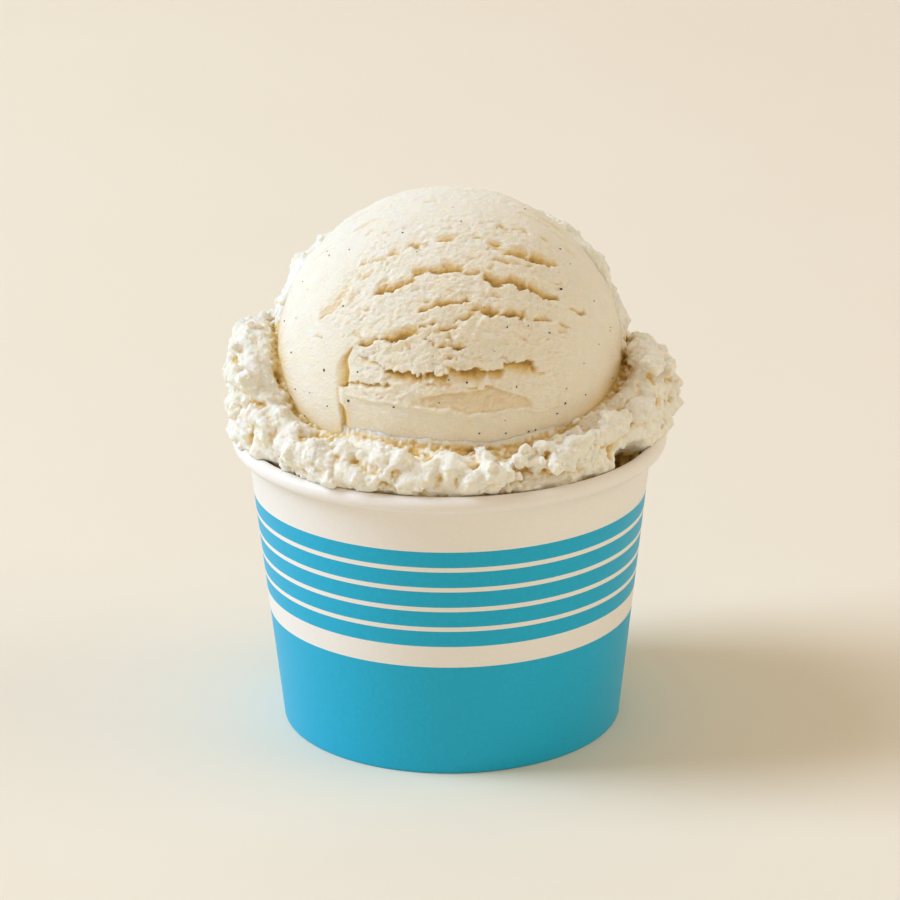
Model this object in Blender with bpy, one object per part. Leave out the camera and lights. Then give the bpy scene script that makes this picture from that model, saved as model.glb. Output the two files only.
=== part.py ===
"""Gelato cup: one round scoop pressed into a paper cup, with a ragged collar squeezed over the rim.

Three pieces in metres, +Z up, with the origin at the middle of the cup's foot and the front
towards -Y. The paper sidewall and its recessed bottom disc are turned profiles. The gelato is one
solid: a smooth ball with torn furrows, a crumbly collar round it, and the fill of the cup below.
"""
import itertools
import math

import bmesh
import bpy
import numpy as np

MM = 0.001

# Paper cup, a standard 240 ml ice cream cup.
CUP_HEIGHT = 62.7 * MM
FOOT_RADIUS = 35.5 * MM
WALL_FLARE = 0.1067             # outward run of the wall for each unit of rise
WALL_PAPER = 0.5 * MM
BASE_PAPER = 0.4 * MM
GAP = 0.3 * MM                  # clearance between neighbouring pieces
BEAD_RADIUS = 43.3 * MM         # cup axis to the middle of the rolled rim
BEAD_HALF_WIDTH = 1.7 * MM
BEAD_HALF_HEIGHT = 1.6 * MM
BEAD_STEPS = 10
BEAD_FROM = -150.0              # degrees round the bead's section, 0 outwards and 90 up, where
BEAD_TO = 165.0                 # it leaves the wall's outer and inner face
RECESS_HEIGHT = 6.6 * MM        # table to the underside of the bottom disc
FOLD_HEIGHT = 1.0 * MM          # turned paper at the foot, below the disc's skirt
CUP_SEGMENTS = 64

# Ball of the scoop.
BALL_RADIUS = 35.7 * MM
BALL_HEIGHT = 77.0 * MM         # table to the ball's centre

# The scoop's blade swept about the X axis, so tears and steps are placed by two angles in
# degrees: the lift from the front over the top, and the side angle towards +X.
# Each tear: side angle from, to, lift from, to, half width in degrees, depth.
TEARS = (
    (18, 37, 56.5, 58, 1.8, 1.3 * MM),
    (10, 36, 45, 41.5, 2.0, 1.5 * MM),
    (-24, -9, 41.5, 47, 1.9, 1.4 * MM),
    (-9, 11, 48, 48, 1.9, 1.2 * MM),
    (-19, 5, 58, 62, 1.5, 0.8 * MM),
    (6, 26, 35.5, 32, 1.9, 1.3 * MM),
    (-9, 7, 34.5, 37, 1.7, 1.0 * MM),
    (-29, -10, 24, 27, 1.7, 1.2 * MM),
    (-50, -33, 35, 50, 2.2, 0.9 * MM),
    (-33, -6, 21.6, 13, 1.8, 1.3 * MM),
    (-6, 18, 13, 11, 1.9, 1.4 * MM),
    (18, 29, 12, 17.5, 1.9, 1.4 * MM),
    (-34, -18, 9.8, 9.4, 1.4, 0.9 * MM),
    (-18, 28, 4.6, 4.6, 3.4, 0.7 * MM),
)
BLADE_STEP_SIDE = -36.0         # side angle of the step where the blade's lip left the ball
BLADE_STEP_LIFT = 19.0          # the sunk field lies below this lift
BLADE_STEP_END = 39.0           # side angle where the sunk field fades out again
BLADE_STEP_DEPTH = 0.9 * MM

# Collar by bearing in degrees from the front, positive towards +X. Heights, radii and lengths are
# in millimetres: crest height, bulge radius, bulge height, radius at the rim, groove width,
# groove depth, fullness of the outer curve, height of the fringe's top, and fringe thickness.
COLLAR = (
    (-180, 82.5, 44.6, 70.0, 43.8, 0.5, 1.0, 2.2, 105.5, 2.2),
    (-140, 83.0, 44.8, 70.0, 44.0, 0.5, 1.0, 2.2, 105.5, 2.2),
    (-112, 83.2, 45.0, 69.5, 44.4, 0.7, 2.0, 2.6, 103.5, 1.9),
    (-100, 84.6, 45.4, 69.0, 44.7, 1.3, 5.5, 3.2, 100.5, 1.6),
    (-94, 85.8, 45.6, 69.0, 44.8, 1.6, 7.5, 3.4, 94.5, 1.2),
    (-88, 86.6, 45.7, 69.0, 44.9, 1.7, 8.5, 3.4, 82.0, 0.0),
    (-75, 82.5, 45.4, 68.0, 44.7, 1.9, 9.0, 2.8, 78.0, 0.0),
    (-60, 74.0, 44.2, 66.5, 42.9, 1.5, 5.5, 2.0, 73.0, 0.0),
    (-47, 70.6, 43.0, 66.0, 42.3, 1.0, 3.2, 1.8, 72.0, 0.0),
    (-35, 71.9, 44.8, 66.0, 44.2, 0.9, 3.2, 1.8, 73.0, 0.0),
    (-20, 71.2, 43.4, 65.5, 42.8, 0.9, 2.8, 1.7, 72.5, 0.0),
    (0, 70.2, 43.2, 65.0, 42.6, 0.9, 2.5, 1.7, 72.0, 0.0),
    (14, 68.8, 43.0, 65.0, 42.5, 0.9, 2.3, 1.7, 71.0, 0.0),
    (28, 70.4, 43.1, 65.0, 42.5, 0.9, 2.6, 1.7, 72.0, 0.0),
    (42, 72.2, 43.2, 66.0, 42.6, 1.0, 3.2, 1.7, 73.0, 0.0),
    (54, 74.2, 43.5, 66.5, 42.4, 1.4, 5.0, 1.7, 73.5, 0.0),
    (67, 78.2, 44.6, 67.5, 43.0, 2.0, 8.0, 1.6, 75.0, 0.0),
    (80, 81.3, 46.2, 68.0, 44.0, 2.3, 9.5, 1.4, 77.0, 0.0),
    (92, 82.4, 46.6, 68.0, 44.4, 2.2, 9.0, 1.4, 82.0, 0.5),
    (101, 80.6, 46.0, 68.5, 44.4, 1.6, 5.0, 1.6, 100.0, 1.8),
    (112, 78.6, 45.2, 69.0, 44.3, 0.9, 2.0, 1.8, 104.5, 2.2),
    (140, 80.5, 44.8, 70.0, 44.0, 0.5, 1.0, 2.2, 105.5, 2.2),
)
COLLAR_SOFTENING = 5.0          # degrees over which neighbouring collar values blend
CREST_STAND = 2.8 * MM          # collar's top edge, outside the groove
CREST_ROUNDING = 1.3 * MM

# Hollows under the collar where the cup's inner wall shows: bearing, half width, depth.
RIM_HOLLOWS = ((58.5, 10.0, 4.4 * MM), (-52.0, 10.0, 3.2 * MM))
RIM_HOLLOW_EASE = 56.0 * MM     # height where a hollow starts to run out below the rim
RIM_HOLLOW_FLOOR = 50.0 * MM
RIM_HOLLOW_EASE_SHARE = 0.85    # share of a hollow's depth that is left there

# The skin inside the cup: degrees round the bead's section that it follows, and how much further
# in than GAP it lies, so that its flat faces clear the wall's.
RIM_FOLLOW = (115, 148, 180)
FACET_CLEARANCE = 0.2 * MM

# Crumbly relief of the collar.
CLUMP_SIZE = 5.2 * MM
CLUMP_HEIGHT = 2.8 * MM
CLUMP_SEED = 11

# Rows and columns of the gelato's skin. Columns crowd towards the front.
DOME_ROWS = 30
FRINGE_ROWS = 6
GROOVE_ROWS = 3
OUTER_ROWS = 11
COLUMNS = 88
FRONT_CROWDING = 0.25

COLOURS = {
    "cup_paper": ((0.86, 0.83, 0.77, 1.0), 0.45),
    "base_paper": ((0.84, 0.81, 0.75, 1.0), 0.6),
    "vanilla_gelato": ((0.88, 0.79, 0.58, 1.0), 0.5),
}


def clear_scene():
    """Removes whatever objects the file holds, so that the script always starts empty."""
    for item in list(bpy.data.objects):
        bpy.data.objects.remove(item, do_unlink=True)


def make_material(name):
    """A Principled material with the colour and roughness that COLOURS gives."""
    colour, roughness = COLOURS[name]
    material = bpy.data.materials.new(name)
    material.use_nodes = True
    shader = material.node_tree.nodes["Principled BSDF"]
    shader.inputs["Base Color"].default_value = colour
    shader.inputs["Roughness"].default_value = roughness
    shader.inputs["Metallic"].default_value = 0.0
    return material


def add_object(name, mesh, material_name):
    """Links a mesh as a smooth-shaded object with its own material."""
    mesh.materials.append(make_material(material_name))
    mesh.shade_smooth()
    mesh.set_sharp_from_angle(angle=math.radians(40))
    item = bpy.data.objects.new(name, mesh)
    bpy.context.scene.collection.objects.link(item)
    return item


def wall_radius(height):
    """Outer radius of the cup's conical wall at a height above the table."""
    return FOOT_RADIUS + WALL_FLARE * height


def turn_profile(name, profile, material_name, on_axis):
    """Spins a profile of (radius, height) points about Z. One that starts and ends on the axis
    closes there, and any other is a closed loop that turns into a ring."""
    shape = bmesh.new()
    corners = [shape.verts.new((radius, 0.0, height)) for radius, height in profile]
    edges = [shape.edges.new(pair) for pair in zip(corners, corners[1:])]
    if not on_axis:
        edges.append(shape.edges.new((corners[-1], corners[0])))
    bmesh.ops.spin(shape, geom=corners + edges, cent=(0, 0, 0), axis=(0, 0, 1), dvec=(0, 0, 0),
                   angle=2 * math.pi, steps=CUP_SEGMENTS, use_merge=True)
    bmesh.ops.remove_doubles(shape, verts=shape.verts, dist=1e-6)
    bmesh.ops.recalc_face_normals(shape, faces=shape.faces)
    mesh = bpy.data.meshes.new(name)
    shape.to_mesh(mesh)
    shape.free()
    return add_object(name, mesh, material_name)


def make_cup_wall():
    """The sidewall: a flared cone of paper, its rim rolled outwards into an oval bead, and its
    foot folded in and up round the skirt of the bottom disc."""
    bead_height = CUP_HEIGHT - BEAD_HALF_HEIGHT
    turns = np.linspace(math.radians(BEAD_FROM), math.radians(BEAD_TO), BEAD_STEPS)
    bead = [(BEAD_RADIUS + BEAD_HALF_WIDTH * math.cos(turn),
             bead_height + BEAD_HALF_HEIGHT * math.sin(turn)) for turn in turns]
    skirt_slot = WALL_PAPER + 2 * GAP + BASE_PAPER
    hem_top = RECESS_HEIGHT - GAP
    hem_inset = skirt_slot + WALL_PAPER
    profile = [(wall_radius(0), 0.0)] + bead
    profile += [
        (wall_radius(hem_top) - WALL_PAPER, hem_top + WALL_PAPER),
        (wall_radius(FOLD_HEIGHT) - WALL_PAPER, FOLD_HEIGHT),
        (wall_radius(FOLD_HEIGHT) - skirt_slot, FOLD_HEIGHT),
        (wall_radius(hem_top) - skirt_slot, hem_top),
        (wall_radius(hem_top) - hem_inset, hem_top),
        (wall_radius(0) - hem_inset, 0.0),
    ]
    return turn_profile("cup_wall", profile, "cup_paper", on_axis=False)


def make_cup_base():
    """The bottom disc, held up inside the foot, with a skirt that turns down between the wall and
    its hem."""
    top = RECESS_HEIGHT + BASE_PAPER
    skirt_foot = FOLD_HEIGHT + GAP
    outer_inset = WALL_PAPER + GAP
    inner_inset = outer_inset + BASE_PAPER
    profile = [
        (0.0, top),
        (0.5 * FOOT_RADIUS, top),
        (wall_radius(top) - outer_inset, top),
        (wall_radius(skirt_foot) - outer_inset, skirt_foot),
        (wall_radius(skirt_foot) - inner_inset, skirt_foot),
        (wall_radius(RECESS_HEIGHT) - inner_inset, RECESS_HEIGHT),
        (0.5 * FOOT_RADIUS, RECESS_HEIGHT),
        (0.0, RECESS_HEIGHT),
    ]
    return turn_profile("cup_base", profile, "base_paper", on_axis=True)


def collar_values(bearing):
    """The collar's nine values at each bearing: straight lines between the rows of COLLAR,
    softened by averaging over a few degrees. Lengths come back in metres."""
    rows = np.array(COLLAR)
    shifts = np.linspace(-COLLAR_SOFTENING, COLLAR_SOFTENING, 5)
    columns = []
    for column in rows.T[1:]:
        columns.append(np.mean([np.interp(bearing + shift, rows[:, 0], column, period=360)
                                for shift in shifts], axis=0))
    fullness = columns.pop(6)
    return [column * MM for column in columns] + [fullness]


def ball_radius_at(height):
    """Radius of the ball's level circle at a height, or zero above and below it."""
    rise = np.clip((height - BALL_HEIGHT) / BALL_RADIUS, -1, 1)
    return BALL_RADIUS * np.sqrt(1 - rise ** 2)


def smooth_step(value):
    """Rises from 0 to 1 as value goes from 0 to 1, level at both ends."""
    value = np.clip(value, 0, 1)
    return value * value * (3 - 2 * value)


def blade_relief(side, lift):
    """How far the ball's skin is sunk, in metres, at two arrays of blade angles: narrow furrows
    with soft ends at the tears, and one shallow field that starts at a sharp step."""
    sunk = np.zeros_like(side)
    for side_from, side_to, lift_from, lift_to, half_width, depth in TEARS:
        along = (side - side_from) / (side_to - side_from)
        middle = lift_from + (lift_to - lift_from) * np.clip(along, 0, 1)
        across = np.exp(-((lift - middle) / half_width) ** 2)
        ends = smooth_step(along / 0.2 + 0.5) * smooth_step((1 - along) / 0.2 + 0.5)
        sunk = np.maximum(sunk, depth * across * ends)
    field = smooth_step((side - BLADE_STEP_SIDE) / 2.5) * smooth_step((BLADE_STEP_END - side) / 14)
    return sunk + BLADE_STEP_DEPTH * field * smooth_step((BLADE_STEP_LIFT - lift) / 6)


def dome_rows(bearing, end_height):
    """Rows over the ball from near its top down to a height. Each point is pushed towards the
    ball's centre by the blade's relief."""
    last = np.arccos(np.clip((end_height - BALL_HEIGHT) / BALL_RADIUS, -1, 1))
    share = np.arange(1, DOME_ROWS + 1)[:, None] / DOME_ROWS
    return ball_rows(bearing, last[None, :] * share, smooth_step(share * 8))


def ball_rows(bearing, polar, relief_share):
    """Radius and height on the ball at polar angles from its top, less the blade's relief."""
    turn = np.radians(bearing)[None, :]
    across, front, up = np.sin(polar) * np.sin(turn), np.sin(polar) * np.cos(turn), np.cos(polar)
    side = np.degrees(np.arcsin(np.clip(across, -1, 1)))
    lift = np.degrees(np.arctan2(up, front))
    reach = BALL_RADIUS - blade_relief(side, lift) * relief_share
    return reach * np.sin(polar), BALL_HEIGHT + reach * up


def fringe_rows(bearing, top_height, floor_height, thickness):
    """Rows on down the ball from the dome's end to the groove's floor, where the torn fringe
    stands off the ball behind and the bare ball goes on in front."""
    first = np.arccos(np.clip((top_height - BALL_HEIGHT) / BALL_RADIUS, -1, 1))
    last = np.arccos(np.clip((floor_height - BALL_HEIGHT) / BALL_RADIUS, -1, 1))
    share = np.arange(1, FRINGE_ROWS + 1)[:, None] / FRINGE_ROWS
    polar = first[None, :] + (last - first)[None, :] * share
    radii, heights = ball_rows(bearing, polar, 1 - share)
    stand = thickness[None, :] * smooth_step(share * 3) * smooth_step((1 - share) * 6 + 0.4)
    return radii + stand * np.sin(polar), heights + stand * np.cos(polar)


def hollow_depth(bearing):
    """How far the rim hollows push the gelato back from the cup, for each bearing."""
    depth = np.zeros_like(bearing)
    for middle, half_width, deepest in RIM_HOLLOWS:
        depth = np.maximum(depth, deepest * smooth_step(1.4 - np.abs(bearing - middle) / half_width))
    return depth


def gelato_sections(bearing):
    """Radius and height of every row of the gelato's skin at each bearing, from the ball's top
    over the collar and down inside the cup, and how strongly the clumps act on each row."""
    (crest, bulge, bulge_height, rim, groove, groove_depth,
     fringe_top, thickness, fullness) = collar_values(bearing)
    floor_height = crest - groove_depth
    dome_end = np.maximum(fringe_top, floor_height + 3 * MM)
    dome_radii, dome_heights = dome_rows(bearing, dome_end)
    fringe_radii, fringe_heights = fringe_rows(bearing, dome_end, floor_height, thickness)
    radii = list(dome_radii) + list(fringe_radii)
    heights = list(dome_heights) + list(fringe_heights)
    behind = thickness / np.max(thickness)
    rough = [np.zeros_like(bearing)] * DOME_ROWS + [behind] * FRINGE_ROWS

    top_edge = ball_radius_at(crest) + groove + CREST_STAND
    for share in np.linspace(0, 1, GROOVE_ROWS):
        height = floor_height + (groove_depth - CREST_ROUNDING * 0.7) * share - 0.2 * MM * (1 - share)
        radii.append(ball_radius_at(height) + groove * (0.35 + 0.65 * share))
        heights.append(height)
        rough.append(np.full_like(bearing, 0.5 * share))

    for share in np.linspace(0.08, 1, OUTER_ROWS):
        rise = np.cos(share * math.pi / 2)
        spread = (1 - rise ** fullness) ** (1 / fullness)
        radii.append(top_edge + (bulge - top_edge) * spread)
        heights.append(bulge_height + (crest - bulge_height) * rise)
        rough.append(np.ones_like(bearing))

    hollow = hollow_depth(bearing)
    rim_top = CUP_HEIGHT + GAP
    radii += [rim + 0.6 * (bulge - rim) - 0.5 * hollow, rim - hollow]
    heights += [rim_top + 0.45 * (bulge_height - rim_top),
                np.full_like(bearing, rim_top + FACET_CLEARANCE)]
    rough += [np.full_like(bearing, 0.8), np.zeros_like(bearing)]

    bead_height = CUP_HEIGHT - BEAD_HALF_HEIGHT
    for turn in np.radians(RIM_FOLLOW):
        radii.append(BEAD_RADIUS + (BEAD_HALF_WIDTH + GAP) * math.cos(turn) - hollow)
        heights.append(np.full_like(bearing, bead_height + (BEAD_HALF_HEIGHT + GAP) * math.sin(turn)))
        rough.append(np.zeros_like(bearing))
    clear = WALL_PAPER + GAP + FACET_CLEARANCE
    bottom = RECESS_HEIGHT + BASE_PAPER + GAP
    for height, share in ((RIM_HOLLOW_EASE, RIM_HOLLOW_EASE_SHARE), (RIM_HOLLOW_FLOOR, 0.0),
                          (bottom, 0.0)):
        radii.append(wall_radius(height) - clear - hollow * share)
        heights.append(np.full_like(bearing, height))
        rough.append(np.zeros_like(bearing))
    return np.array(radii), np.array(heights), np.array(rough)


def cell_distance(points, cell, seed):
    """Distance, in cells, from each point to the nearest of the random centres, one of which
    lies in every cube of a grid whose cubes are cell wide."""
    table = np.random.default_rng(seed).random((4096, 3))
    scaled = points / cell
    home = np.floor(scaled).astype(np.int64)
    nearest = np.full(len(points), 9.0)
    for offset in itertools.product((-1, 0, 1), repeat=3):
        cube = home + np.array(offset)
        key = (cube[:, 0] * 73856093) ^ (cube[:, 1] * 19349663) ^ (cube[:, 2] * 83492791)
        centre = cube + table[key % len(table)]
        nearest = np.minimum(nearest, np.linalg.norm(centre - scaled, axis=1))
    return nearest


def add_clumps(points, rough):
    """Pushes the skin out along its normal by rounded clumps, as far as rough lets it. points is
    rows by columns by 3, and rough is rows by columns."""
    along = np.roll(points, -1, axis=1) - np.roll(points, 1, axis=1)
    down = np.gradient(points, axis=0)
    normal = np.cross(down, along)
    normal /= np.linalg.norm(normal, axis=2, keepdims=True) + 1e-12
    distance = cell_distance(points.reshape(-1, 3), CLUMP_SIZE, CLUMP_SEED)
    height = CLUMP_HEIGHT * (0.5 - distance).reshape(points.shape[:2])
    return points + normal * (height * rough)[..., None]


def make_gelato():
    """The gelato as one closed skin: a grid of rows and columns, closed by a point at the ball's
    top and one at the middle of the cup's bottom."""
    even = np.arange(COLUMNS) * 2 * math.pi / COLUMNS - math.pi
    bearing = np.degrees(even - FRONT_CROWDING * np.sin(even))
    radii, heights, rough = gelato_sections(bearing)
    turn = np.radians(bearing)[None, :]
    points = np.stack([radii * np.sin(turn), -radii * np.cos(turn), heights], axis=-1)
    points = add_clumps(points, rough)

    rows = len(points)
    top = (0.0, 0.0, BALL_HEIGHT + BALL_RADIUS)
    bottom = (0.0, 0.0, float(heights[-1, 0]))
    corners = points.reshape(-1, 3).tolist() + [top, bottom]
    top_corner, bottom_corner = rows * COLUMNS, rows * COLUMNS + 1
    faces = []
    for column in range(COLUMNS):
        beside = (column + 1) % COLUMNS
        faces.append((top_corner, column, beside))
        last = (rows - 1) * COLUMNS
        faces.append((bottom_corner, last + beside, last + column))
        for row in range(rows - 1):
            upper, lower = row * COLUMNS, (row + 1) * COLUMNS
            faces.append((upper + column, lower + column, lower + beside, upper + beside))
    mesh = bpy.data.meshes.new("gelato")
    mesh.from_pydata(corners, [], faces)
    mesh.validate()
    return add_object("gelato", mesh, "vanilla_gelato")


clear_scene()
make_cup_wall()
make_cup_base()
make_gelato()
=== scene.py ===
# %% [markdown]
# # A scoop of vanilla gelato in a striped paper cup
#
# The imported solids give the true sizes: a paper wall, a paper bottom disc and one body of gelato.
# This notebook dresses them. The cup is turned again with the thickness, seam and print of real
# paperboard. The gelato gets its fine surface: a ball that a round scoop has dragged and torn, and
# the crumbly collar that was squeezed out between the ball and the rim.

# %% Load the frame
import itertools
import math

import bmesh
import bpy
import numpy as np
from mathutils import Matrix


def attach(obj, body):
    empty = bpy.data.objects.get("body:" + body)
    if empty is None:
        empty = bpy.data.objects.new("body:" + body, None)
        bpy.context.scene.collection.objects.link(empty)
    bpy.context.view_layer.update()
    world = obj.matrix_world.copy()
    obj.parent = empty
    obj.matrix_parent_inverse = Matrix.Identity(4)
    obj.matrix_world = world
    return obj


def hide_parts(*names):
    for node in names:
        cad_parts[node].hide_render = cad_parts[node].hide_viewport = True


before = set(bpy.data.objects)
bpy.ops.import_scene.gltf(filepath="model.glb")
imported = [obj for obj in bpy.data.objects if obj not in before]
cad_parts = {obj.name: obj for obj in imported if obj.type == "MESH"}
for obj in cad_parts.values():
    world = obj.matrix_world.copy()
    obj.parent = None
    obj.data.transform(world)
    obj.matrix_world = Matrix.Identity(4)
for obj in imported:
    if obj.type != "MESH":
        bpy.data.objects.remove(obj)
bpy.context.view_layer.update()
MM = 0.001

# %% [markdown]
# ## Camera
#
# The picture looks slightly down on the cup with a long lens, so the rim is a shallow ellipse. The
# camera stands 734 mm from the cup's axis, measured at the height of the print's top edge, and 19.8
# degrees above it. Its tilt is a little less than that, which puts the cup low in the frame, and it
# leans by less than half a degree.

# %% Place the camera
AIM_HEIGHT = 49.97 * MM
CAMERA_DISTANCE = 734.4 * MM
CAMERA_ELEVATION = math.radians(19.789)
CAMERA_DIP = math.radians(19.241)
CAMERA_ROLL = math.radians(-0.441)
LENS_MM = 141.01

camera_data = bpy.data.cameras.new("camera")
camera_data.lens = LENS_MM
camera_data.sensor_width = 36.0
camera_data.clip_start = 0.05
camera = bpy.data.objects.new("camera", camera_data)
camera.location = (0.0, -CAMERA_DISTANCE * math.cos(CAMERA_ELEVATION),
                   AIM_HEIGHT + CAMERA_DISTANCE * math.sin(CAMERA_ELEVATION))
camera.rotation_mode = "ZXY"
camera.rotation_euler = (math.pi / 2 - CAMERA_DIP, 0.0, CAMERA_ROLL)
bpy.context.scene.collection.objects.link(camera)
bpy.context.scene.camera = camera
print("Camera at", tuple(round(value, 4) for value in camera.location))

# %% [markdown]
# ## Tools for shapes
#
# Every surface below is a numpy array of points in millimetres. One helper turns arrays into a
# Blender mesh and writes named numbers on its points, which the materials read later. Two kinds of
# noise give all unevenness: value noise for soft swells, and cell noise for rounded crumbs.


# %% Mesh helpers
def fade(value):
    """Smooth step: 0 up to 0, 1 from 1 on, and 3v^2 - 2v^3 in between."""
    value = np.clip(value, 0.0, 1.0)
    return value * value * (3.0 - 2.0 * value)


def make_mesh(name, points, faces, **point_values):
    """A smooth mesh from points in mm and faces that all have the same number of corners."""
    faces = np.asarray(faces)
    mesh = bpy.data.meshes.new(name)
    mesh.vertices.add(len(points))
    mesh.vertices.foreach_set("co", (np.asarray(points) * MM).astype(np.float32).ravel())
    mesh.loops.add(faces.size)
    mesh.loops.foreach_set("vertex_index", faces.astype(np.int32).ravel())
    mesh.polygons.add(len(faces))
    mesh.polygons.foreach_set("loop_start", np.arange(0, faces.size, faces.shape[1], dtype=np.int32))
    mesh.update(calc_edges=True)
    mesh.shade_smooth()
    for label, values in point_values.items():
        layer = mesh.attributes.new(label, "FLOAT", "POINT")
        layer.data.foreach_set("value", np.asarray(values, dtype=np.float32).ravel())
    return mesh


def add_piece(name, mesh, material, node=None):
    """Links a mesh as a piece that rides on the cup, and hides the imported solid that it stands for."""
    mesh.materials.append(material)
    piece = bpy.data.objects.new(name, mesh)
    bpy.context.scene.collection.objects.link(piece)
    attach(piece, "root")
    if node:
        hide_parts(node)
    print(f"{name}: {len(mesh.vertices)} points, {len(mesh.polygons)} faces")
    return piece


def grid_faces(rows, columns, wrap_rows=False, wrap_columns=True):
    """Quads of a grid of points. It closes on itself along the directions that wrap."""
    row = np.arange(rows if wrap_rows else rows - 1)[:, None]
    column = np.arange(columns if wrap_columns else columns - 1)[None, :]
    below, beside = (row + 1) % rows, (column + 1) % columns
    corners = (row * columns + column, below * columns + column,
               below * columns + beside, row * columns + beside)
    return np.stack(np.broadcast_arrays(*corners), axis=-1).reshape(-1, 4)


def triangles_of(quads):
    """Each quad as two triangles."""
    return np.concatenate([quads[:, [0, 1, 2]], quads[:, [0, 2, 3]]])


def point_normals(points, triangles):
    """Unit normal at each point: the mean of the normals round it, weighted by area."""
    corner = points[triangles]
    facing = np.cross(corner[:, 1] - corner[:, 0], corner[:, 2] - corner[:, 0])
    total = np.stack([np.bincount(triangles.ravel(), np.repeat(facing[:, axis], 3), len(points))
                      for axis in range(3)], axis=1)
    return total / (np.linalg.norm(total, axis=1, keepdims=True) + 1e-12)


# %% Noise helpers
CHANCES = np.random.default_rng(5).random(1 << 16)


def chance(cube, seed):
    """One of the stored random numbers, between 0 and 1, for each cube of a lattice."""
    key = cube[:, 0] * 73856093 ^ cube[:, 1] * 19349663 ^ cube[:, 2] * 83492791 ^ seed * 40503
    key = (key * 2654435761) & 0xFFFFFFFF
    return CHANCES[(key ^ (key >> 15)) & 0xFFFF]


def soft_noise(points, size, seed):
    """Value noise from -1 to 1: random numbers on a lattice whose cubes are size wide, blended
    between the eight corners by the smooth step."""
    scaled = points / size
    home = np.floor(scaled).astype(np.int64)
    blend = fade(scaled - home)
    total = np.zeros(len(points))
    for corner in itertools.product((0, 1), repeat=3):
        share = np.where(np.array(corner) == 1, blend, 1 - blend).prod(axis=1)
        total += share * chance(home + np.array(corner), seed)
    return 2 * total - 1


def cell_noise(points, size, seed):
    """Distance, in cube widths, to the nearest of random centres, one in each lattice cube."""
    scaled = points / size
    home = np.floor(scaled).astype(np.int64)
    nearest = np.full(len(points), 9.0)
    for offset in itertools.product((-1, 0, 1), repeat=3):
        cube = home + np.array(offset)
        centre = cube + np.stack([chance(cube, seed + axis) for axis in range(3)], axis=1)
        nearest = np.minimum(nearest, ((centre - scaled) ** 2).sum(axis=1))
    return np.sqrt(nearest)


# %% [markdown]
# ## Material helpers
#
# A colour is easiest to pick as the sRGB hex value that a painter or a web page uses, but Blender's
# shaders work with linear light. One function converts it. Another adds a node, sets its values and
# links its inputs, so that each material below reads like a recipe.


# %% Material helpers
def linear(hex_colour):
    """A linear RGBA colour from sRGB hex, by the standard curve: v/12.92 for the darkest values
    and ((v + 0.055) / 1.055)^2.4 above."""
    parts = [int(hex_colour[start:start + 2], 16) / 255 for start in (1, 3, 5)]
    return tuple(v / 12.92 if v <= 0.04045 else ((v + 0.055) / 1.055) ** 2.4 for v in parts) + (1.0,)


def new_material(name):
    """A material with its node tree and its Principled shader."""
    material = bpy.data.materials.new(name)
    material.use_nodes = True
    tree = material.node_tree
    return material, tree, tree.nodes["Principled BSDF"]


def put(tree, kind, inputs=None, **settings):
    """Adds a node. settings are its own options, and inputs maps a socket's name or number to a
    value or to the output socket that feeds it."""
    node = tree.nodes.new(kind)
    for label, value in settings.items():
        setattr(node, label, value)
    for socket, value in (inputs or {}).items():
        if isinstance(value, bpy.types.NodeSocket):
            tree.links.new(value, node.inputs[socket])
        else:
            node.inputs[socket].default_value = value
    return node


# %% [markdown]
# ## Cup paper
#
# The cup is white food-grade paperboard with a thin polyethylene coat: matt fibre under a soft
# satin shine, with an index of refraction near 1.5. The bands are printed before the board is
# rolled, so their edges are crisp and the ink is level. Faint clouding of the fibre shows through
# both. The bands are set by height, and the inside of the cup stays white by a number on its points.

# %% Printed paperboard
BAND_TOP = 49.97        # upper edge of the highest blue band, mm above the table
BAND_HEIGHT = 3.41
BAND_PITCH = 4.377      # one band and the white line under it
BAND_COUNT = 5
BELT_BOTTOM = 24.47     # under this height the cup is blue down to its foot
CUP_HEIGHT = 62.7

PAPER_WHITE = "#f4f1ea"
PRINT_BLUE = "#0cb2da"


def band_edges():
    """Heights where the print changes, from the foot up, each with 1 for blue or 0 for white."""
    edges = [(0.0, 1.0), (BELT_BOTTOM, 0.0)]
    for band in reversed(range(BAND_COUNT)):
        top = BAND_TOP - band * BAND_PITCH
        edges += [(top - BAND_HEIGHT, 1.0), (top, 0.0)]
    return edges


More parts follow.
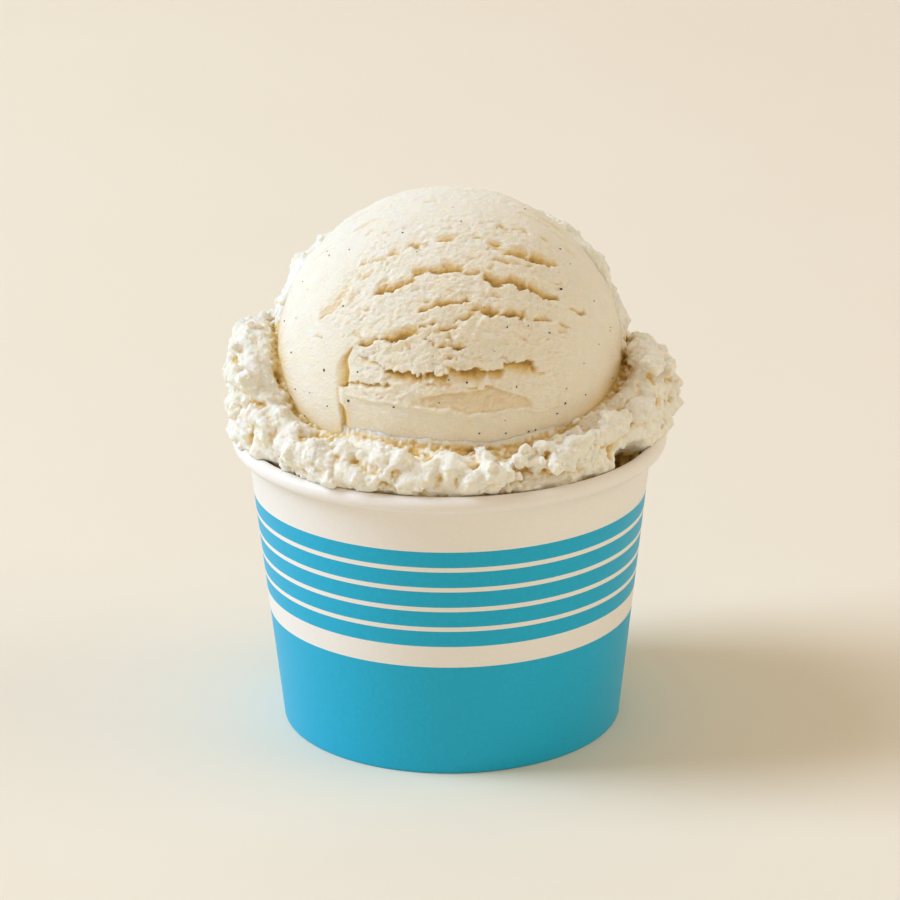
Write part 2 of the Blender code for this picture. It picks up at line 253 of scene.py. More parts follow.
def paperboard(name, printed):
    """Coated paperboard. Clouds of about 1 mm vary its shade, by 2 % on white and 8 % on ink, and
    fibre of 0.3 mm gives its relief."""
    material, tree, shader = new_material(name)
    place = put(tree, "ShaderNodeTexCoord").outputs["Object"]
    clouds = put(tree, "ShaderNodeTexNoise", {"Vector": place, "Scale": 1100.0, "Detail": 6.0,
                                              "Roughness": 0.7})
    fibre = put(tree, "ShaderNodeTexNoise", {"Vector": place, "Scale": 3500.0, "Detail": 2.0})
    colour, mottling = linear(PAPER_WHITE), 0.15
    if printed:
        height = put(tree, "ShaderNodeSeparateXYZ", {0: place}).outputs["Z"]
        share = put(tree, "ShaderNodeMath", {0: height, 1: CUP_HEIGHT * MM}, operation="DIVIDE")
        bands = put(tree, "ShaderNodeValToRGB", {"Fac": share.outputs[0]})
        bands.color_ramp.interpolation = "CONSTANT"
        edges = band_edges()
        while len(bands.color_ramp.elements) < len(edges):
            bands.color_ramp.elements.new(0.5)
        for stop, (edge, blue) in zip(bands.color_ramp.elements, edges):
            stop.position = edge / CUP_HEIGHT
            stop.color = (blue, blue, blue, 1.0)
        outside = put(tree, "ShaderNodeAttribute", attribute_name="printed").outputs["Fac"]
        ink = put(tree, "ShaderNodeMath", {0: bands.outputs["Color"], 1: outside}, operation="MULTIPLY")
        colour = put(tree, "ShaderNodeMix", {"Factor": ink.outputs[0], "A": linear(PAPER_WHITE),
                                             "B": linear(PRINT_BLUE)}, data_type="RGBA").outputs[2]
        mottling = put(tree, "ShaderNodeMapRange", {"Value": ink.outputs[0], "To Min": 0.15,
                                                    "To Max": 0.6}).outputs[0]
    shade = put(tree, "ShaderNodeMapRange", {"Value": clouds.outputs["Fac"], "From Min": 0.3,
                                             "From Max": 0.7, "To Min": 0.86, "To Max": 1.1})
    tinted = put(tree, "ShaderNodeMix", {"Factor": mottling, "A": colour, "B": shade.outputs[0]},
                 data_type="RGBA", blend_type="MULTIPLY")
    tree.links.new(tinted.outputs[2], shader.inputs["Base Color"])
    relief = put(tree, "ShaderNodeBump", {"Height": fibre.outputs["Fac"], "Strength": 0.2,
                                          "Distance": 0.02 * MM})
    tree.links.new(relief.outputs[0], shader.inputs["Normal"])
    gloss = put(tree, "ShaderNodeMapRange", {"Value": clouds.outputs["Fac"], "To Min": 0.4,
                                             "To Max": 0.52})
    tree.links.new(gloss.outputs[0], shader.inputs["Roughness"])
    shader.inputs["IOR"].default_value = 1.5
    shader.inputs["Specular IOR Level"].default_value = 0.36
    shader.inputs["Sheen Weight"].default_value = 0.02
    shader.inputs["Sheen Roughness"].default_value = 0.45
    return material


wall_paper = paperboard("coated_paperboard_printed", printed=True)
base_paper = paperboard("coated_paperboard_plain", printed=False)
print("Print edges above the table, mm:", [round(edge, 2) for edge, blue in band_edges()])

# %% [markdown]
# ## The cup's wall
#
# A paper cup's wall is one blank wrapped into a cone and glued along a side seam. Its top edge is
# rolled outwards into a hollow bead, and its foot is folded in and up round the bottom disc. All of
# that is one profile, walked from the foot up the outside, round the bead, and down the inside,
# then carried round the axis. The seam is where the blank's end lies on its beginning. The lap is
# pressed while it is glued, so it stands out by less than the board's thickness. It faces the back.

# %% Turn the wall
FOOT_RADIUS = 35.5
WALL_FLARE = 0.1067
BOARD = 0.5
BEAD_RADIUS = 43.3
BEAD_ROUND = 1.65
GAP = 0.3
RECESS_HEIGHT = 6.6
FOLD_HEIGHT = 1.0
BASE_BOARD = 0.4
SEAM_BEARING = 180.0
SEAM_LAP = 9.0          # degrees of the lap
SEAM_STEP = 0.32        # how far the lap stands out, mm
TURN_STEPS = 360
BASE_STEPS = 180


def wall_radius(height):
    """Outer radius of the cone at a height."""
    return FOOT_RADIUS + WALL_FLARE * np.asarray(height)


def wall_profile():
    """Radius, height and print (1 outside, 0 inside) of the wall's section, a closed loop."""
    foot_round = [(wall_radius(0) - 0.28, 0.0), (wall_radius(0) - 0.08, 0.08), (wall_radius(0.3), 0.3)]
    outer = [(wall_radius(height), height) for height in np.linspace(1.0, 59.0, 30)]
    turn = np.radians(np.linspace(-138, 168, 26))
    bead_height = CUP_HEIGHT - BEAD_ROUND
    bead = list(zip(BEAD_RADIUS + BEAD_ROUND * np.cos(turn), bead_height + BEAD_ROUND * np.sin(turn)))
    inner = [(wall_radius(height) - BOARD, height) for height in np.linspace(58.0, 7.2, 20)]
    slot = BOARD + 2 * GAP + BASE_BOARD
    hem_top = RECESS_HEIGHT - GAP
    hem = [(wall_radius(FOLD_HEIGHT) - BOARD, FOLD_HEIGHT + 0.2),
           (wall_radius(FOLD_HEIGHT) - BOARD - 0.15, FOLD_HEIGHT),
           (wall_radius(FOLD_HEIGHT) - slot + 0.15, FOLD_HEIGHT),
           (wall_radius(FOLD_HEIGHT) - slot, FOLD_HEIGHT + 0.2),
           (wall_radius(hem_top) - slot, hem_top - 0.15),
           (wall_radius(hem_top) - slot - 0.15, hem_top),
           (wall_radius(hem_top) - slot - BOARD + 0.1, hem_top),
           (wall_radius(hem_top) - slot - BOARD, hem_top - 0.1),
           (wall_radius(0) - slot - BOARD, 0.15),
           (wall_radius(0) - slot - BOARD + 0.15, 0.0)]
    profile = foot_round + outer + bead + inner + hem
    printed = [1.0] * (len(foot_round) + len(outer)) + [0.0] * (len(bead) + len(inner) + len(hem))
    return np.array(profile), np.array(printed)


profile, printed = wall_profile()
bearing = np.arange(TURN_STEPS) * 360.0 / TURN_STEPS
past_seam = (bearing - SEAM_BEARING + 180) % 360 - 180
on_lap = (past_seam > 0) & (past_seam < SEAM_LAP)
lap = np.where(on_lap, SEAM_STEP * (1 - past_seam / SEAM_LAP * 0.2), 0.0)
# A rolled cup is never quite round: it is off by up to 0.1 mm above its foot.
uneven = 0.06 * np.sin(np.radians(2 * bearing + 30)) + 0.04 * np.sin(np.radians(3 * bearing))
on_cone = (printed * fade(profile[:, 1] / 3.0))[:, None]
radius = profile[:, :1] + on_cone * lap[None, :] + uneven[None, :] * fade(profile[:, 1:] / 30 - 0.5)
turn = np.radians(bearing)[None, :]
wall_points = np.stack([radius * np.sin(turn), -radius * np.cos(turn),
                        np.broadcast_to(profile[:, 1:], radius.shape)], axis=-1).reshape(-1, 3)
wall_quads = grid_faces(len(profile), TURN_STEPS, wrap_rows=True)[:, ::-1]
wall_mesh = make_mesh("cup_paper_wall", wall_points, wall_quads,
                      printed=np.repeat(printed, TURN_STEPS))
wall_mesh.set_sharp_from_angle(angle=math.radians(50))
add_piece("cup_paper_wall", wall_mesh, wall_paper, "cup_wall")

# %% [markdown]
# ## The bottom disc
#
# The bottom is a disc of board with its edge turned down, glued between the wall and the folded
# foot. It is the same kind of turned profile, closed by a point on the axis above and below.

# %% Turn the bottom disc


def base_profile():
    """Radius and height of the disc's section, from the axis above to the axis below."""
    top = RECESS_HEIGHT + BASE_BOARD
    skirt = FOLD_HEIGHT + GAP
    outer, inner = BOARD + GAP, BOARD + GAP + BASE_BOARD
    rows = [(radius, top) for radius in (8.0, 16.0, 24.0, 31.0)]
    rows += [(wall_radius(top) - outer - 0.3, top), (wall_radius(top) - outer, top - 0.3)]
    rows += [(wall_radius(skirt) - outer, skirt), (wall_radius(skirt) - inner, skirt)]
    rows += [(wall_radius(RECESS_HEIGHT) - inner, RECESS_HEIGHT - 0.5),
             (wall_radius(RECESS_HEIGHT) - inner - 0.5, RECESS_HEIGHT)]
    rows += [(radius, RECESS_HEIGHT) for radius in (30.0, 24.0, 16.0, 8.0)]
    return np.array(rows)


def turned(profile_rows, steps):
    """A profile carried round the axis, closed by fans of triangles at the axis."""
    angle = np.arange(steps) * 2 * math.pi / steps
    reach = profile_rows[:, :1]
    points = np.stack([reach * np.sin(angle), -reach * np.cos(angle),
                       np.broadcast_to(profile_rows[:, 1:], (len(profile_rows), steps))], axis=-1)
    ends = [[0, 0, profile_rows[0, 1]], [0, 0, profile_rows[-1, 1]]]
    points = np.concatenate([points.reshape(-1, 3), ends])
    column = np.arange(steps)
    beside = (column + 1) % steps
    first = np.full(steps, len(points) - 2)
    last_row = (len(profile_rows) - 1) * steps
    last = np.full(steps, len(points) - 1)
    fans = np.concatenate([np.stack([first, column, beside], axis=1),
                           np.stack([last, last_row + beside, last_row + column], axis=1)])
    body = triangles_of(grid_faces(len(profile_rows), steps))
    return points, np.concatenate([fans, body])


base_points, base_triangles = turned(base_profile(), BASE_STEPS)
base_mesh = make_mesh("cup_paper_base", base_points, base_triangles)
base_mesh.set_sharp_from_angle(angle=math.radians(50))
add_piece("cup_paper_base", base_mesh, base_paper, "cup_base")

# %% [markdown]
# ## Vanilla gelato
#
# Gelato is frozen milk and sugar with fine ice and air in it. Light goes about a millimetre into it
# before it comes out again, and the blue part dies first, so lit skin is nearly white and every
# crevice glows a warm straw colour. Random-walk subsurface scattering gives part of that, and the
# rest is painted shade. A number stored on the points, hollow, says how sunk a place is: 0 on the
# skin, 1 in a pocket, 2 in a hole, and the base colour is painted from cream through straw to brown
# as it grows. The skin is part frozen and part melting, so its roughness varies around 0.6, with an
# index of refraction near 1.35.

# %% Gelato material
GELATO_LIT = "#faf6ea"
# Painted shade: straw in hollows and tears, brown in the deepest, set by the hollow value.
GELATO_PAINTED_SHADE = "#e4c780"
GELATO_PAINTED_DEEP_SHADE = "#9a7236"
SCATTER_DEPTH = 0.65 * MM


def gelato_material(name):
    """Frozen dairy: pale skin with painted straw and brown shade in its hollows, mottled at 3 mm
    and grained at 0.4 mm.
    """
    material, tree, shader = new_material(name)
    place = put(tree, "ShaderNodeTexCoord").outputs["Object"]
    hollow = put(tree, "ShaderNodeAttribute", attribute_name="hollow").outputs["Fac"]
    mottle = put(tree, "ShaderNodeTexNoise", {"Vector": place, "Scale": 330.0, "Detail": 5.0})
    grain = put(tree, "ShaderNodeTexNoise", {"Vector": place, "Scale": 2600.0, "Detail": 3.0,
                                             "Roughness": 0.6})
    uneven = put(tree, "ShaderNodeMapRange", {"Value": mottle.outputs["Fac"], "From Min": 0.3,
                                              "From Max": 0.7, "To Min": -0.05, "To Max": 0.07})
    speckled = put(tree, "ShaderNodeMapRange", {"Value": grain.outputs["Fac"], "From Min": 0.35,
                                                "From Max": 0.65, "To Min": 0.1, "To Max": -0.08})
    mixed = put(tree, "ShaderNodeMath", {0: uneven.outputs[0], 1: speckled.outputs[0]}, operation="ADD")
    depth = put(tree, "ShaderNodeMath", {0: hollow, 1: mixed.outputs[0]}, operation="ADD")
    share = put(tree, "ShaderNodeMath", {0: depth.outputs[0], 1: 2.0}, operation="DIVIDE",
                use_clamp=True)
    # The ramp paints shade by the hollow value: skin colour, then straw, then brown.
    tones = put(tree, "ShaderNodeValToRGB", {"Fac": share.outputs[0]})
    tones.color_ramp.elements[0].color = linear(GELATO_LIT)
    tones.color_ramp.elements[1].color = linear(GELATO_PAINTED_DEEP_SHADE)
    tones.color_ramp.elements.new(0.5).color = linear(GELATO_PAINTED_SHADE)
    tree.links.new(tones.outputs["Color"], shader.inputs["Base Color"])
    gloss = put(tree, "ShaderNodeMapRange", {"Value": mottle.outputs["Fac"], "From Min": 0.3,
                                             "From Max": 0.7, "To Min": 0.5, "To Max": 0.68})
    tree.links.new(gloss.outputs[0], shader.inputs["Roughness"])
    relief = put(tree, "ShaderNodeBump", {"Height": grain.outputs["Fac"], "Strength": 0.9,
                                          "Distance": 0.28 * MM})
    tree.links.new(relief.outputs[0], shader.inputs["Normal"])
    shader.inputs["IOR"].default_value = 1.35
    shader.inputs["Specular IOR Level"].default_value = 0.3
    shader.inputs["Subsurface Weight"].default_value = 1.0
    shader.inputs["Subsurface Scale"].default_value = SCATTER_DEPTH
    shader.inputs["Subsurface Radius"].default_value = (1.0, 0.84, 0.55)
    return material


gelato = gelato_material("vanilla_gelato_frozen")
print("Light reaches about", SCATTER_DEPTH / MM, "mm into the gelato")

# %% [markdown]
# ## The ball's skin
#
# A round scoop turns about its own axis as it is dragged through the tub, and its blade tears the
# skin in lines that lie across that sweep. Two angles suit it: side, from the left pole (-90) to the
# right pole (90), and lift, from the front (0) over the top (90) to the back (180). A grid of those
# two angles, finest on the torn front, is pushed in and out along the ball's radius.
#
# A tear has a profile like a step: its skin sinks slowly towards the tear's edge, then jumps back
# up to the lip of the next flake. Each tear is a line of a few points, made ragged by noise.

# %% Tears of the skin
BALL_RADIUS = 35.7
BALL_CENTRE = np.array([0.0, 0.0, 77.0])

# Each tear: points of (side, lift) in degrees along its sharp edge, degrees over which the skin
# sinks towards it from above, and depth in mm. A negative reach sinks from below instead.
TEARS = (
    (((-24, 41.5), (-18.5, 41), (-15, 43), (-10.7, 44.2)), 3.4, 1.3),
    (((-12, 46.4), (-10, 46), (-7, 46.5), (-3.5, 45.4), (0, 46.4), (4.6, 47.4)), 3.8, 1.5),
    (((4.8, 46.6), (7.5, 46), (10.2, 46.6)), 2.0, 0.8),
    (((10.8, 44.2), (13.5, 43), (16, 42.8), (20, 44.4), (23.5, 42), (26, 42.9)), 3.6, 1.6),
    (((26, 42.6), (28.5, 42.2), (32, 41), (37, 42)), 3.4, 1.7),
    (((18.4, 55.6), (22.5, 55.7), (26.8, 55.8)), 5.0, 1.5),
    (((27, 55.6), (30, 55.4), (34, 55.9), (37.6, 59)), 5.2, 1.5),
    (((-4, 59.3), (-1, 58.5), (2, 59.2), (4.4, 61.5)), 3.2, 0.9),
    (((7.6, 60.4), (10.8, 60.3)), 2.6, 0.9),
    (((12.4, 58.2), (15, 57.7), (17.6, 59)), 2.8, 1.0),
    (((15.8, 68.6), (19.4, 68)), 3.6, 1.0),
    (((20.6, 69), (26.6, 69.5)), 2.4, 0.7),
    (((14, 52), (20, 52.5)), 1.6, 0.5),
    (((-9.6, 33.3), (-7, 33), (-5, 34.2), (0, 34.9), (6.4, 35.9)), 2.4, 1.1),
    (((6.6, 33.2), (10.5, 32.5), (13.5, 31.8), (16.4, 32)), 2.8, 1.3),
    (((17.2, 32.6), (21, 32), (24, 31.4), (25.8, 32.6)), 3.2, 1.4),
    (((27.8, 32), (31, 31.7), (34.4, 32.4)), 2.4, 1.1),
    (((37.6, 31.6), (42, 31.5)), 2.2, 0.7),
    (((1.8, 30), (4.5, 30.3), (8.4, 31.6)), 1.8, 0.9),
    (((-9.8, 27.6), (-6, 29), (-3, 29.5)), 1.9, 0.8),
    (((-3.2, 27.5), (0, 27.1), (2.8, 28.3)), 1.7, 0.9),
    (((-29.6, 23.8), (-27, 22.8), (-23.4, 25)), 2.4, 1.1),
    (((-21.8, 24.8), (-20, 23.5), (-16.5, 24), (-13.5, 25.2), (-9.8, 25.8)), 2.6, 1.4),
    (((-9.8, 25), (-4.4, 22.6)), 1.1, 0.4),
    (((-2.8, 22), (1.5, 21), (5.2, 21.8)), 1.8, 1.0),
    (((18.4, 25), (25.2, 24.5)), 1.3, 0.5),
    (((42.4, 39.6), (46.5, 38.8), (50.6, 40)), 3.4, 1.1),
    (((-46, 37.2), (-40, 38.5), (-37, 42), (-33, 47.4)), 6.0, 0.55),
    (((-33.6, 39), (-30.4, 43)), 3.0, 0.6),
    (((-29, 48.6), (-26.4, 49)), 3.0, 0.5),
    (((-25.8, 55), (-20.4, 54)), 2.6, 0.6),
    (((-19.2, 55.6), (-15.4, 56)), 3.0, 0.7),
    (((-13, 57.5), (-9.5, 57.4), (-5.3, 56.6)), 3.0, 0.9),
    (((-48.4, 29.7), (-45, 27.8)), 1.6, 0.5),
    (((-30.5, 20.4), (-27.5, 18.4), (-23.5, 17), (-21, 15.4)), -1.5, 0.6),
    (((-20.5, 14.6), (-15, 13.8), (-12, 14.1), (-8.4, 13)), -3.2, 1.3),
    (((-8, 13.6), (-6, 14.2), (-3.5, 13.5), (0, 13)), -3.6, 1.5),
    (((0, 15.6), (5, 14.6), (9.5, 15.4), (12.5, 14)), -4.4, 1.5),
    (((12.4, 14.4), (17.4, 15.2)), -3.4, 1.1),
    (((17.6, 16.9), (20, 17.2), (24, 18), (27, 17.4), (29, 15)), -3.6, 1.6),
    (((28.8, 14), (31, 13), (33.4, 13.6)), -1.8, 0.6),
    (((-37, 8.2), (-33.5, 9.7), (-30, 9.8), (-27, 9), (-24.5, 9.3), (-19.4, 9.8)), -1.5, 0.8),
    (((-8, 9.6), (2, 10.2)), -1.4, 0.5),
    (((5, 8.8), (14, 9.1)), -1.4, 0.5),
)
LIP = 0.26              # how far a tear's lip stands proud, mm
LIP_LEAN = 0.35         # how far the lip hangs over its tear, mm
EDGE_WIDTH = 0.7        # degrees over which a lip drops into its tear
TEAR_GAIN = 1.1


def small_tears(count, sides, lifts, lengths, depths, seed):
    """Short seeded tears that run sideways, inside a range of side and lift angles."""
    random = np.random.default_rng(seed)
    rows = []
    for _ in range(count):
        start, height = random.uniform(*sides), random.uniform(*lifts)
        bends = height + random.uniform(-0.8, 0.8, 3)
        steps = start + np.array([0.0, 0.5, 1.0]) * random.uniform(*lengths)
        deepest = random.uniform(*depths)
        rows.append((tuple(zip(steps, bends)), 1.2 + 2.2 * deepest, deepest))
    return tuple(rows)


ALL_TEARS = (TEARS + small_tears(60, (-33, 40), (12, 72), (1.5, 5), (0.2, 0.55), 31)
             + small_tears(30, (-55, 50), (74, 125), (4, 13), (0.25, 0.6), 32))


def line_noise(angle, size, seed):
    """Value noise along a line, from -1 to 1."""
    flat = np.stack([angle.ravel(), np.full(angle.size, 0.5), np.full(angle.size, 0.5)], axis=1)
    return soft_noise(flat, size, seed).reshape(angle.shape)


def tear_relief(side, lift):
    """How deep the tears are, how proud their lips stand, and how far the lips lean, in mm.
    With v the degrees past the edge: depth * (1 - v / reach)^1.35 on the sinking side, and
    -lip * exp(v) on the other, joined over the edge's width along a line that noise of the whole
    surface shifts up and down, so that it frays without a comb of notches."""
    sink, lips, lean = (np.zeros_like(side) for _ in range(3))
    flat = np.stack([side.ravel(), lift.ravel(), np.zeros(side.size)], axis=1)
    fine = 0.7 * soft_noise(flat, 1.7, 230) + 0.5 * soft_noise(flat, 0.85, 231)
    coarse = soft_noise(flat, 3.2, 232)
    ragged = lift + (0.5 * coarse + fine).reshape(side.shape)
    smooth = lift + 0.5 * coarse.reshape(side.shape)
    along = side + 0.9 * soft_noise(flat, 1.3, 233).reshape(side.shape)
    for number, (line, reach, deepest) in enumerate(ALL_TEARS):
        sides, lifts = np.array(line, dtype=float).T
        near = (side > sides[0] - 3) & (side < sides[-1] + 3) & (np.abs(lift - lifts.mean()) < 14)
        s, above = along[near], np.sign(reach)
        edge = np.interp(s, sides, lifts) + 0.3 * line_noise(s, 2.3, number)
        slope = np.clip((smooth[near] - edge) * above, 0, None)
        past = (ragged[near] - edge) * above
        ends = fade((s - sides[0]) / 2.2 + 0.45) * fade((sides[-1] - s) / 2.2 + 0.45)
        strength = ends * (0.85 + 0.3 * line_noise(s, 2.6, number + 100))
        width = abs(reach) * (1.2 + 0.5 * line_noise(s, 3.1, number + 150)) * (0.3 + 0.7 * ends)
        inside = fade(past / EDGE_WIDTH + 0.5)
        sinking = TEAR_GAIN * deepest * (1 - np.clip(slope / width, 0, 1)) ** 1.35
        sink[near] = np.maximum(sink[near], strength * inside * sinking)
        proud = strength * (1 - inside) * min(deepest, 1.0)
        proud *= 1 + 0.9 * fine.reshape(side.shape)[near]
        lips[near] = np.maximum(lips[near], LIP * proud * np.exp(np.minimum(past, 0) / 1.3))
        lean[near] += LIP_LEAN * above * proud * np.exp(np.minimum(past, 0) / 1.0)
    return sink, lips * (1 - fade(sink / 0.35)), lean


# %% [markdown]
# Besides the tears there are broad steps. On the left, the scoop's wall left the skin smooth and
# proud, and the torn field begins at a step that wanders down the ball. Low on the front a smooth
# band was pressed under a ragged lip, and a lens-shaped flake has come off just above that lip.

# %% Steps, band and lens
# The step's upper part: lift, sharp right edge, degrees over which the skin sinks towards it.
STEP_UPPER = ((6.4, -36.4, 1.5), (8, -34.8, 4.6), (12, -34.2, 5.4), (15, -34.4, 5.2),
              (17.5, -34.6, 3.4), (20, -34.3, 2.4), (22, -33, 1.6), (24, -31, 1.0))
# The lower part: lift, sharp left edge, degrees over which it rises again to the right.
STEP_LOWER = ((-20, -36.2, 3.0), (-10, -36.9, 3.8), (-3, -37.2, 4.0), (-1, -37.5, 2.6),
              (1.5, -38.6, 1.4), (6.4, -39, 1.6))
STEP_DEPTH = 1.0
FIELD_DEPTH = 0.3
BAND_LINE = ((-38, 5), (-25, 3.6), (-20, 3.8), (-15, 3), (-10, 2.3), (-5, 1.8), (0, 1.7), (2.5, 0.5),
             (5, 0), (15, -0.3), (18.5, 0.8), (25, 0.2), (30, -1.5), (38.4, -0.5), (41, 0.5))
BAND_LIP = 0.42
LENS_TOP = ((-14, 3.6), (-6, 6.4), (0, 7.2), (7.5, 7.6), (14, 8.8), (20, 6.6), (25, 4.6), (27.6, 1.6))
LENS_DEPTH = 0.5


def step_relief(side, lift):
    """Depth of the broad forms: the step and the torn field right of it; the lens; and the band
    below its lip. The step's depth is (1 - distance / reach)^1.2 away from its sharp edge. Also the
    lift of the band's lip, and how much of a pocket each place is."""
    lifts, edges, reaches = np.array(STEP_UPPER, dtype=float).T
    edge = np.interp(lift, lifts, edges) + 0.35 * line_noise(lift, 1.7, 200)
    left_of = edge - side
    inside = fade(left_of / 1.1 + 0.5) * fade((lift - 6.6) / 1.2) * fade((24 - lift) / 1.5)
    away = np.clip(left_of / np.interp(lift, lifts, reaches), 0, 1)
    depth = STEP_DEPTH * inside * (1 - away) ** 1.2

    lifts, edges, reaches = np.array(STEP_LOWER, dtype=float).T
    edge = np.interp(lift, lifts, edges) + 0.2 * line_noise(lift, 1.7, 201)
    right_of = side - edge
    inside = fade(right_of / 1.3 + 0.5) * fade((7.4 - lift) / 1.0)
    away = np.clip(right_of / np.interp(lift, lifts, reaches), 0, 1)
    strength = np.where(lift < 0, 1.0, 0.45)
    depth = np.maximum(depth, STEP_DEPTH * strength * inside * (1 - away) ** 1.2)
    pocket = depth / STEP_DEPTH
    field = fade((side + 37) / 3) * fade((41 - side) / 9) * fade((26 - lift) / 6)
    depth = np.maximum(depth, FIELD_DEPTH * field)

    line_sides, line_lifts = np.array(BAND_LINE, dtype=float).T
    lip = np.interp(side, line_sides, line_lifts) + 0.35 * line_noise(side, 1.9, 210)
    lip += 0.3 * line_noise(side, 0.9, 211) + 0.2 * line_noise(side, 0.5, 213)
    across = fade((side + 37) / 6) * fade((42 - side) / 5)
    above = lift - lip
    crumbs = 0.7 + 0.6 * line_noise(side, 0.8, 212)
    depth -= across * BAND_LIP * crumbs * np.exp(-(above / np.where(above > 0, 0.4, 0.9)) ** 2)
    depth += across * 0.22 * fade(-above / 1.5)

    top_sides, top_lifts = np.array(LENS_TOP, dtype=float).T
    roof = np.interp(side, top_sides, top_lifts) + 0.35 * line_noise(side, 1.9, 220)
    under = roof - lift
    inside = fade((side + 14) / 8) * fade((27.8 - side) / 1.2) * fade(under / 0.7 + 0.5)
    inside *= fade(above / 0.9)
    lens = inside * (0.55 + 0.45 * np.exp(-np.clip(under, 0, None) / 2.0))
    return depth + LENS_DEPTH * lens, lip, np.maximum(pocket, 0.3 * lens)


# %% [markdown]
# The torn field is never flat between its tears. Thin flakes lie over each other, drawn out
# sideways as the tears are, with fine grain on top and a few pinholes where ice crystals fell out.
# The smooth left part and the band only have a faint grain.

# %% Flakes and grain


def torn_share(side, lift, lip):
    """1 where the skin is torn and 0 where it was pressed smooth."""
    left = np.interp(lift, [-20, 22, 40, 60, 75], [-36, -34, -47, -34, -5])
    share = fade((side - left) / 4) * fade((47 - side) / 12) * fade((79 - lift) / 14)
    share = np.maximum(share, 0.6 * fade((lift - 74) / 14))
    return share * (0.12 + 0.88 * fade((lift - lip) / 0.8))


def fine_relief(side, lift, torn):
    """Flakes of 2.5 by 1.1 mm, grains of 0.9 and 0.5 mm, pinholes, crumbs and a soft swell, in mm
    of depth. One degree on the ball is 0.62 mm."""
    flat = np.stack([side.ravel(), lift.ravel(), np.zeros(side.size)], axis=1)
    stretched = flat * np.array([0.45, 1.0, 1.0])
    stretched[:, 1] += 0.8 * soft_noise(flat, 6.0, 300)
    flakes = soft_noise(stretched, 1.8, 301) + 0.6 * np.abs(soft_noise(stretched, 1.0, 302))
    grain = soft_noise(flat, 1.4, 303) + 0.7 * soft_noise(flat, 0.75, 306)
    swell = soft_noise(flat, 9.0, 304)
    pits = np.clip(0.3 - cell_noise(flat, 2.1, 305), 0, 1) / 0.3
    rare = fade(3 * soft_noise(flat, 4.0, 309))
    crumbs = np.clip(0.6 - cell_noise(flat, 1.15, 310), 0, 1)
    depth = torn.ravel() * (0.13 * flakes + 0.09 * grain + 0.45 * pits * rare - 0.2 * crumbs)
    return (depth + 0.045 * grain + 0.12 * swell).reshape(side.shape)


# %% [markdown]
# The collar round the ball is described by one table, which is also needed here: where the collar
# touches the ball, light bounces between the two and the skin glows deeper, and that is painted
# into the skin's colour as straw shade.

# %% Table of the collar
# Bearing in degrees from the front towards the right, then in mm: crest height, bulge radius,
# bulge height, radius at the rim, groove width, groove depth, fullness, fringe top, fringe stand.
COLLAR = np.array([
    (-180, 82.5, 44.6, 70.0, 43.8, 0.5, 1.0, 2.2, 105.5, 2.2),
    (-140, 83.0, 44.8, 70.0, 44.0, 0.5, 1.0, 2.2, 103.0, 2.2),
    (-112, 83.2, 45.0, 69.5, 44.4, 0.7, 2.0, 2.6, 98.0, 2.0),
    (-100, 84.6, 45.4, 69.0, 44.7, 1.2, 4.5, 3.2, 96.5, 1.6),
    (-94, 85.8, 45.6, 69.0, 44.8, 1.4, 6.5, 3.4, 93.5, 1.2),
    (-88, 86.6, 45.7, 69.0, 44.9, 1.5, 7.5, 3.4, 82.0, 0.0),
    (-75, 82.5, 45.4, 68.0, 44.7, 1.7, 7.5, 2.8, 78.0, 0.0),
    (-60, 74.0, 44.2, 66.5, 42.9, 1.5, 5.5, 2.0, 73.0, 0.0),
    (-47, 70.9, 43.0, 66.0, 42.3, 0.6, 2.0, 1.8, 72.0, 0.0),
    (-35, 71.9, 44.8, 66.0, 44.2, 0.3, 1.0, 1.8, 73.0, 0.0),
    (-20, 71.2, 43.2, 65.8, 42.4, 0.3, 0.8, 1.7, 72.5, 0.0),
    (0, 70.2, 42.9, 65.6, 42.1, 0.3, 0.8, 1.7, 72.0, 0.0),
    (14, 69.0, 42.8, 65.6, 42.0, 0.3, 0.8, 1.7, 71.0, 0.0),
    (28, 70.6, 42.9, 65.6, 42.0, 0.3, 0.8, 1.7, 72.0, 0.0),
    (42, 72.4, 43.1, 66.2, 42.2, 0.4, 1.5, 1.7, 73.0, 0.0),
    (54, 74.2, 43.5, 66.5, 42.4, 1.0, 3.5, 1.7, 73.5, 0.0),
    (67, 78.2, 44.6, 67.5, 43.0, 2.0, 8.0, 1.6, 75.0, 0.0),
    (80, 81.3, 46.2, 68.0, 44.0, 2.3, 9.5, 1.4, 77.0, 0.0),
    (92, 82.4, 46.6, 68.0, 44.4, 2.0, 8.0, 1.4, 86.0, 1.2),
    (101, 80.6, 46.0, 68.5, 44.4, 1.4, 4.0, 1.6, 101.0, 2.5),
    (112, 78.6, 45.2, 69.0, 44.3, 0.9, 2.0, 1.8, 102.5, 2.6),
    (140, 80.5, 44.8, 70.0, 44.0, 0.5, 1.0, 2.2, 104.5, 2.2),
])
GROOVE_FILL = 0.4       # the open share of the groove's depth; melt fills the rest

# %% [markdown]
# With the relief ready, the grid can be laid out. Its rows are side angles and its columns are lift
# angles. They are close together over the torn front, wider over the back, and widest under the
# ball where the collar hides it.

# %% Build the ball
SKIN_SHADE = 0.12       # how hollow the plain skin counts: pressed skin is a shade deeper


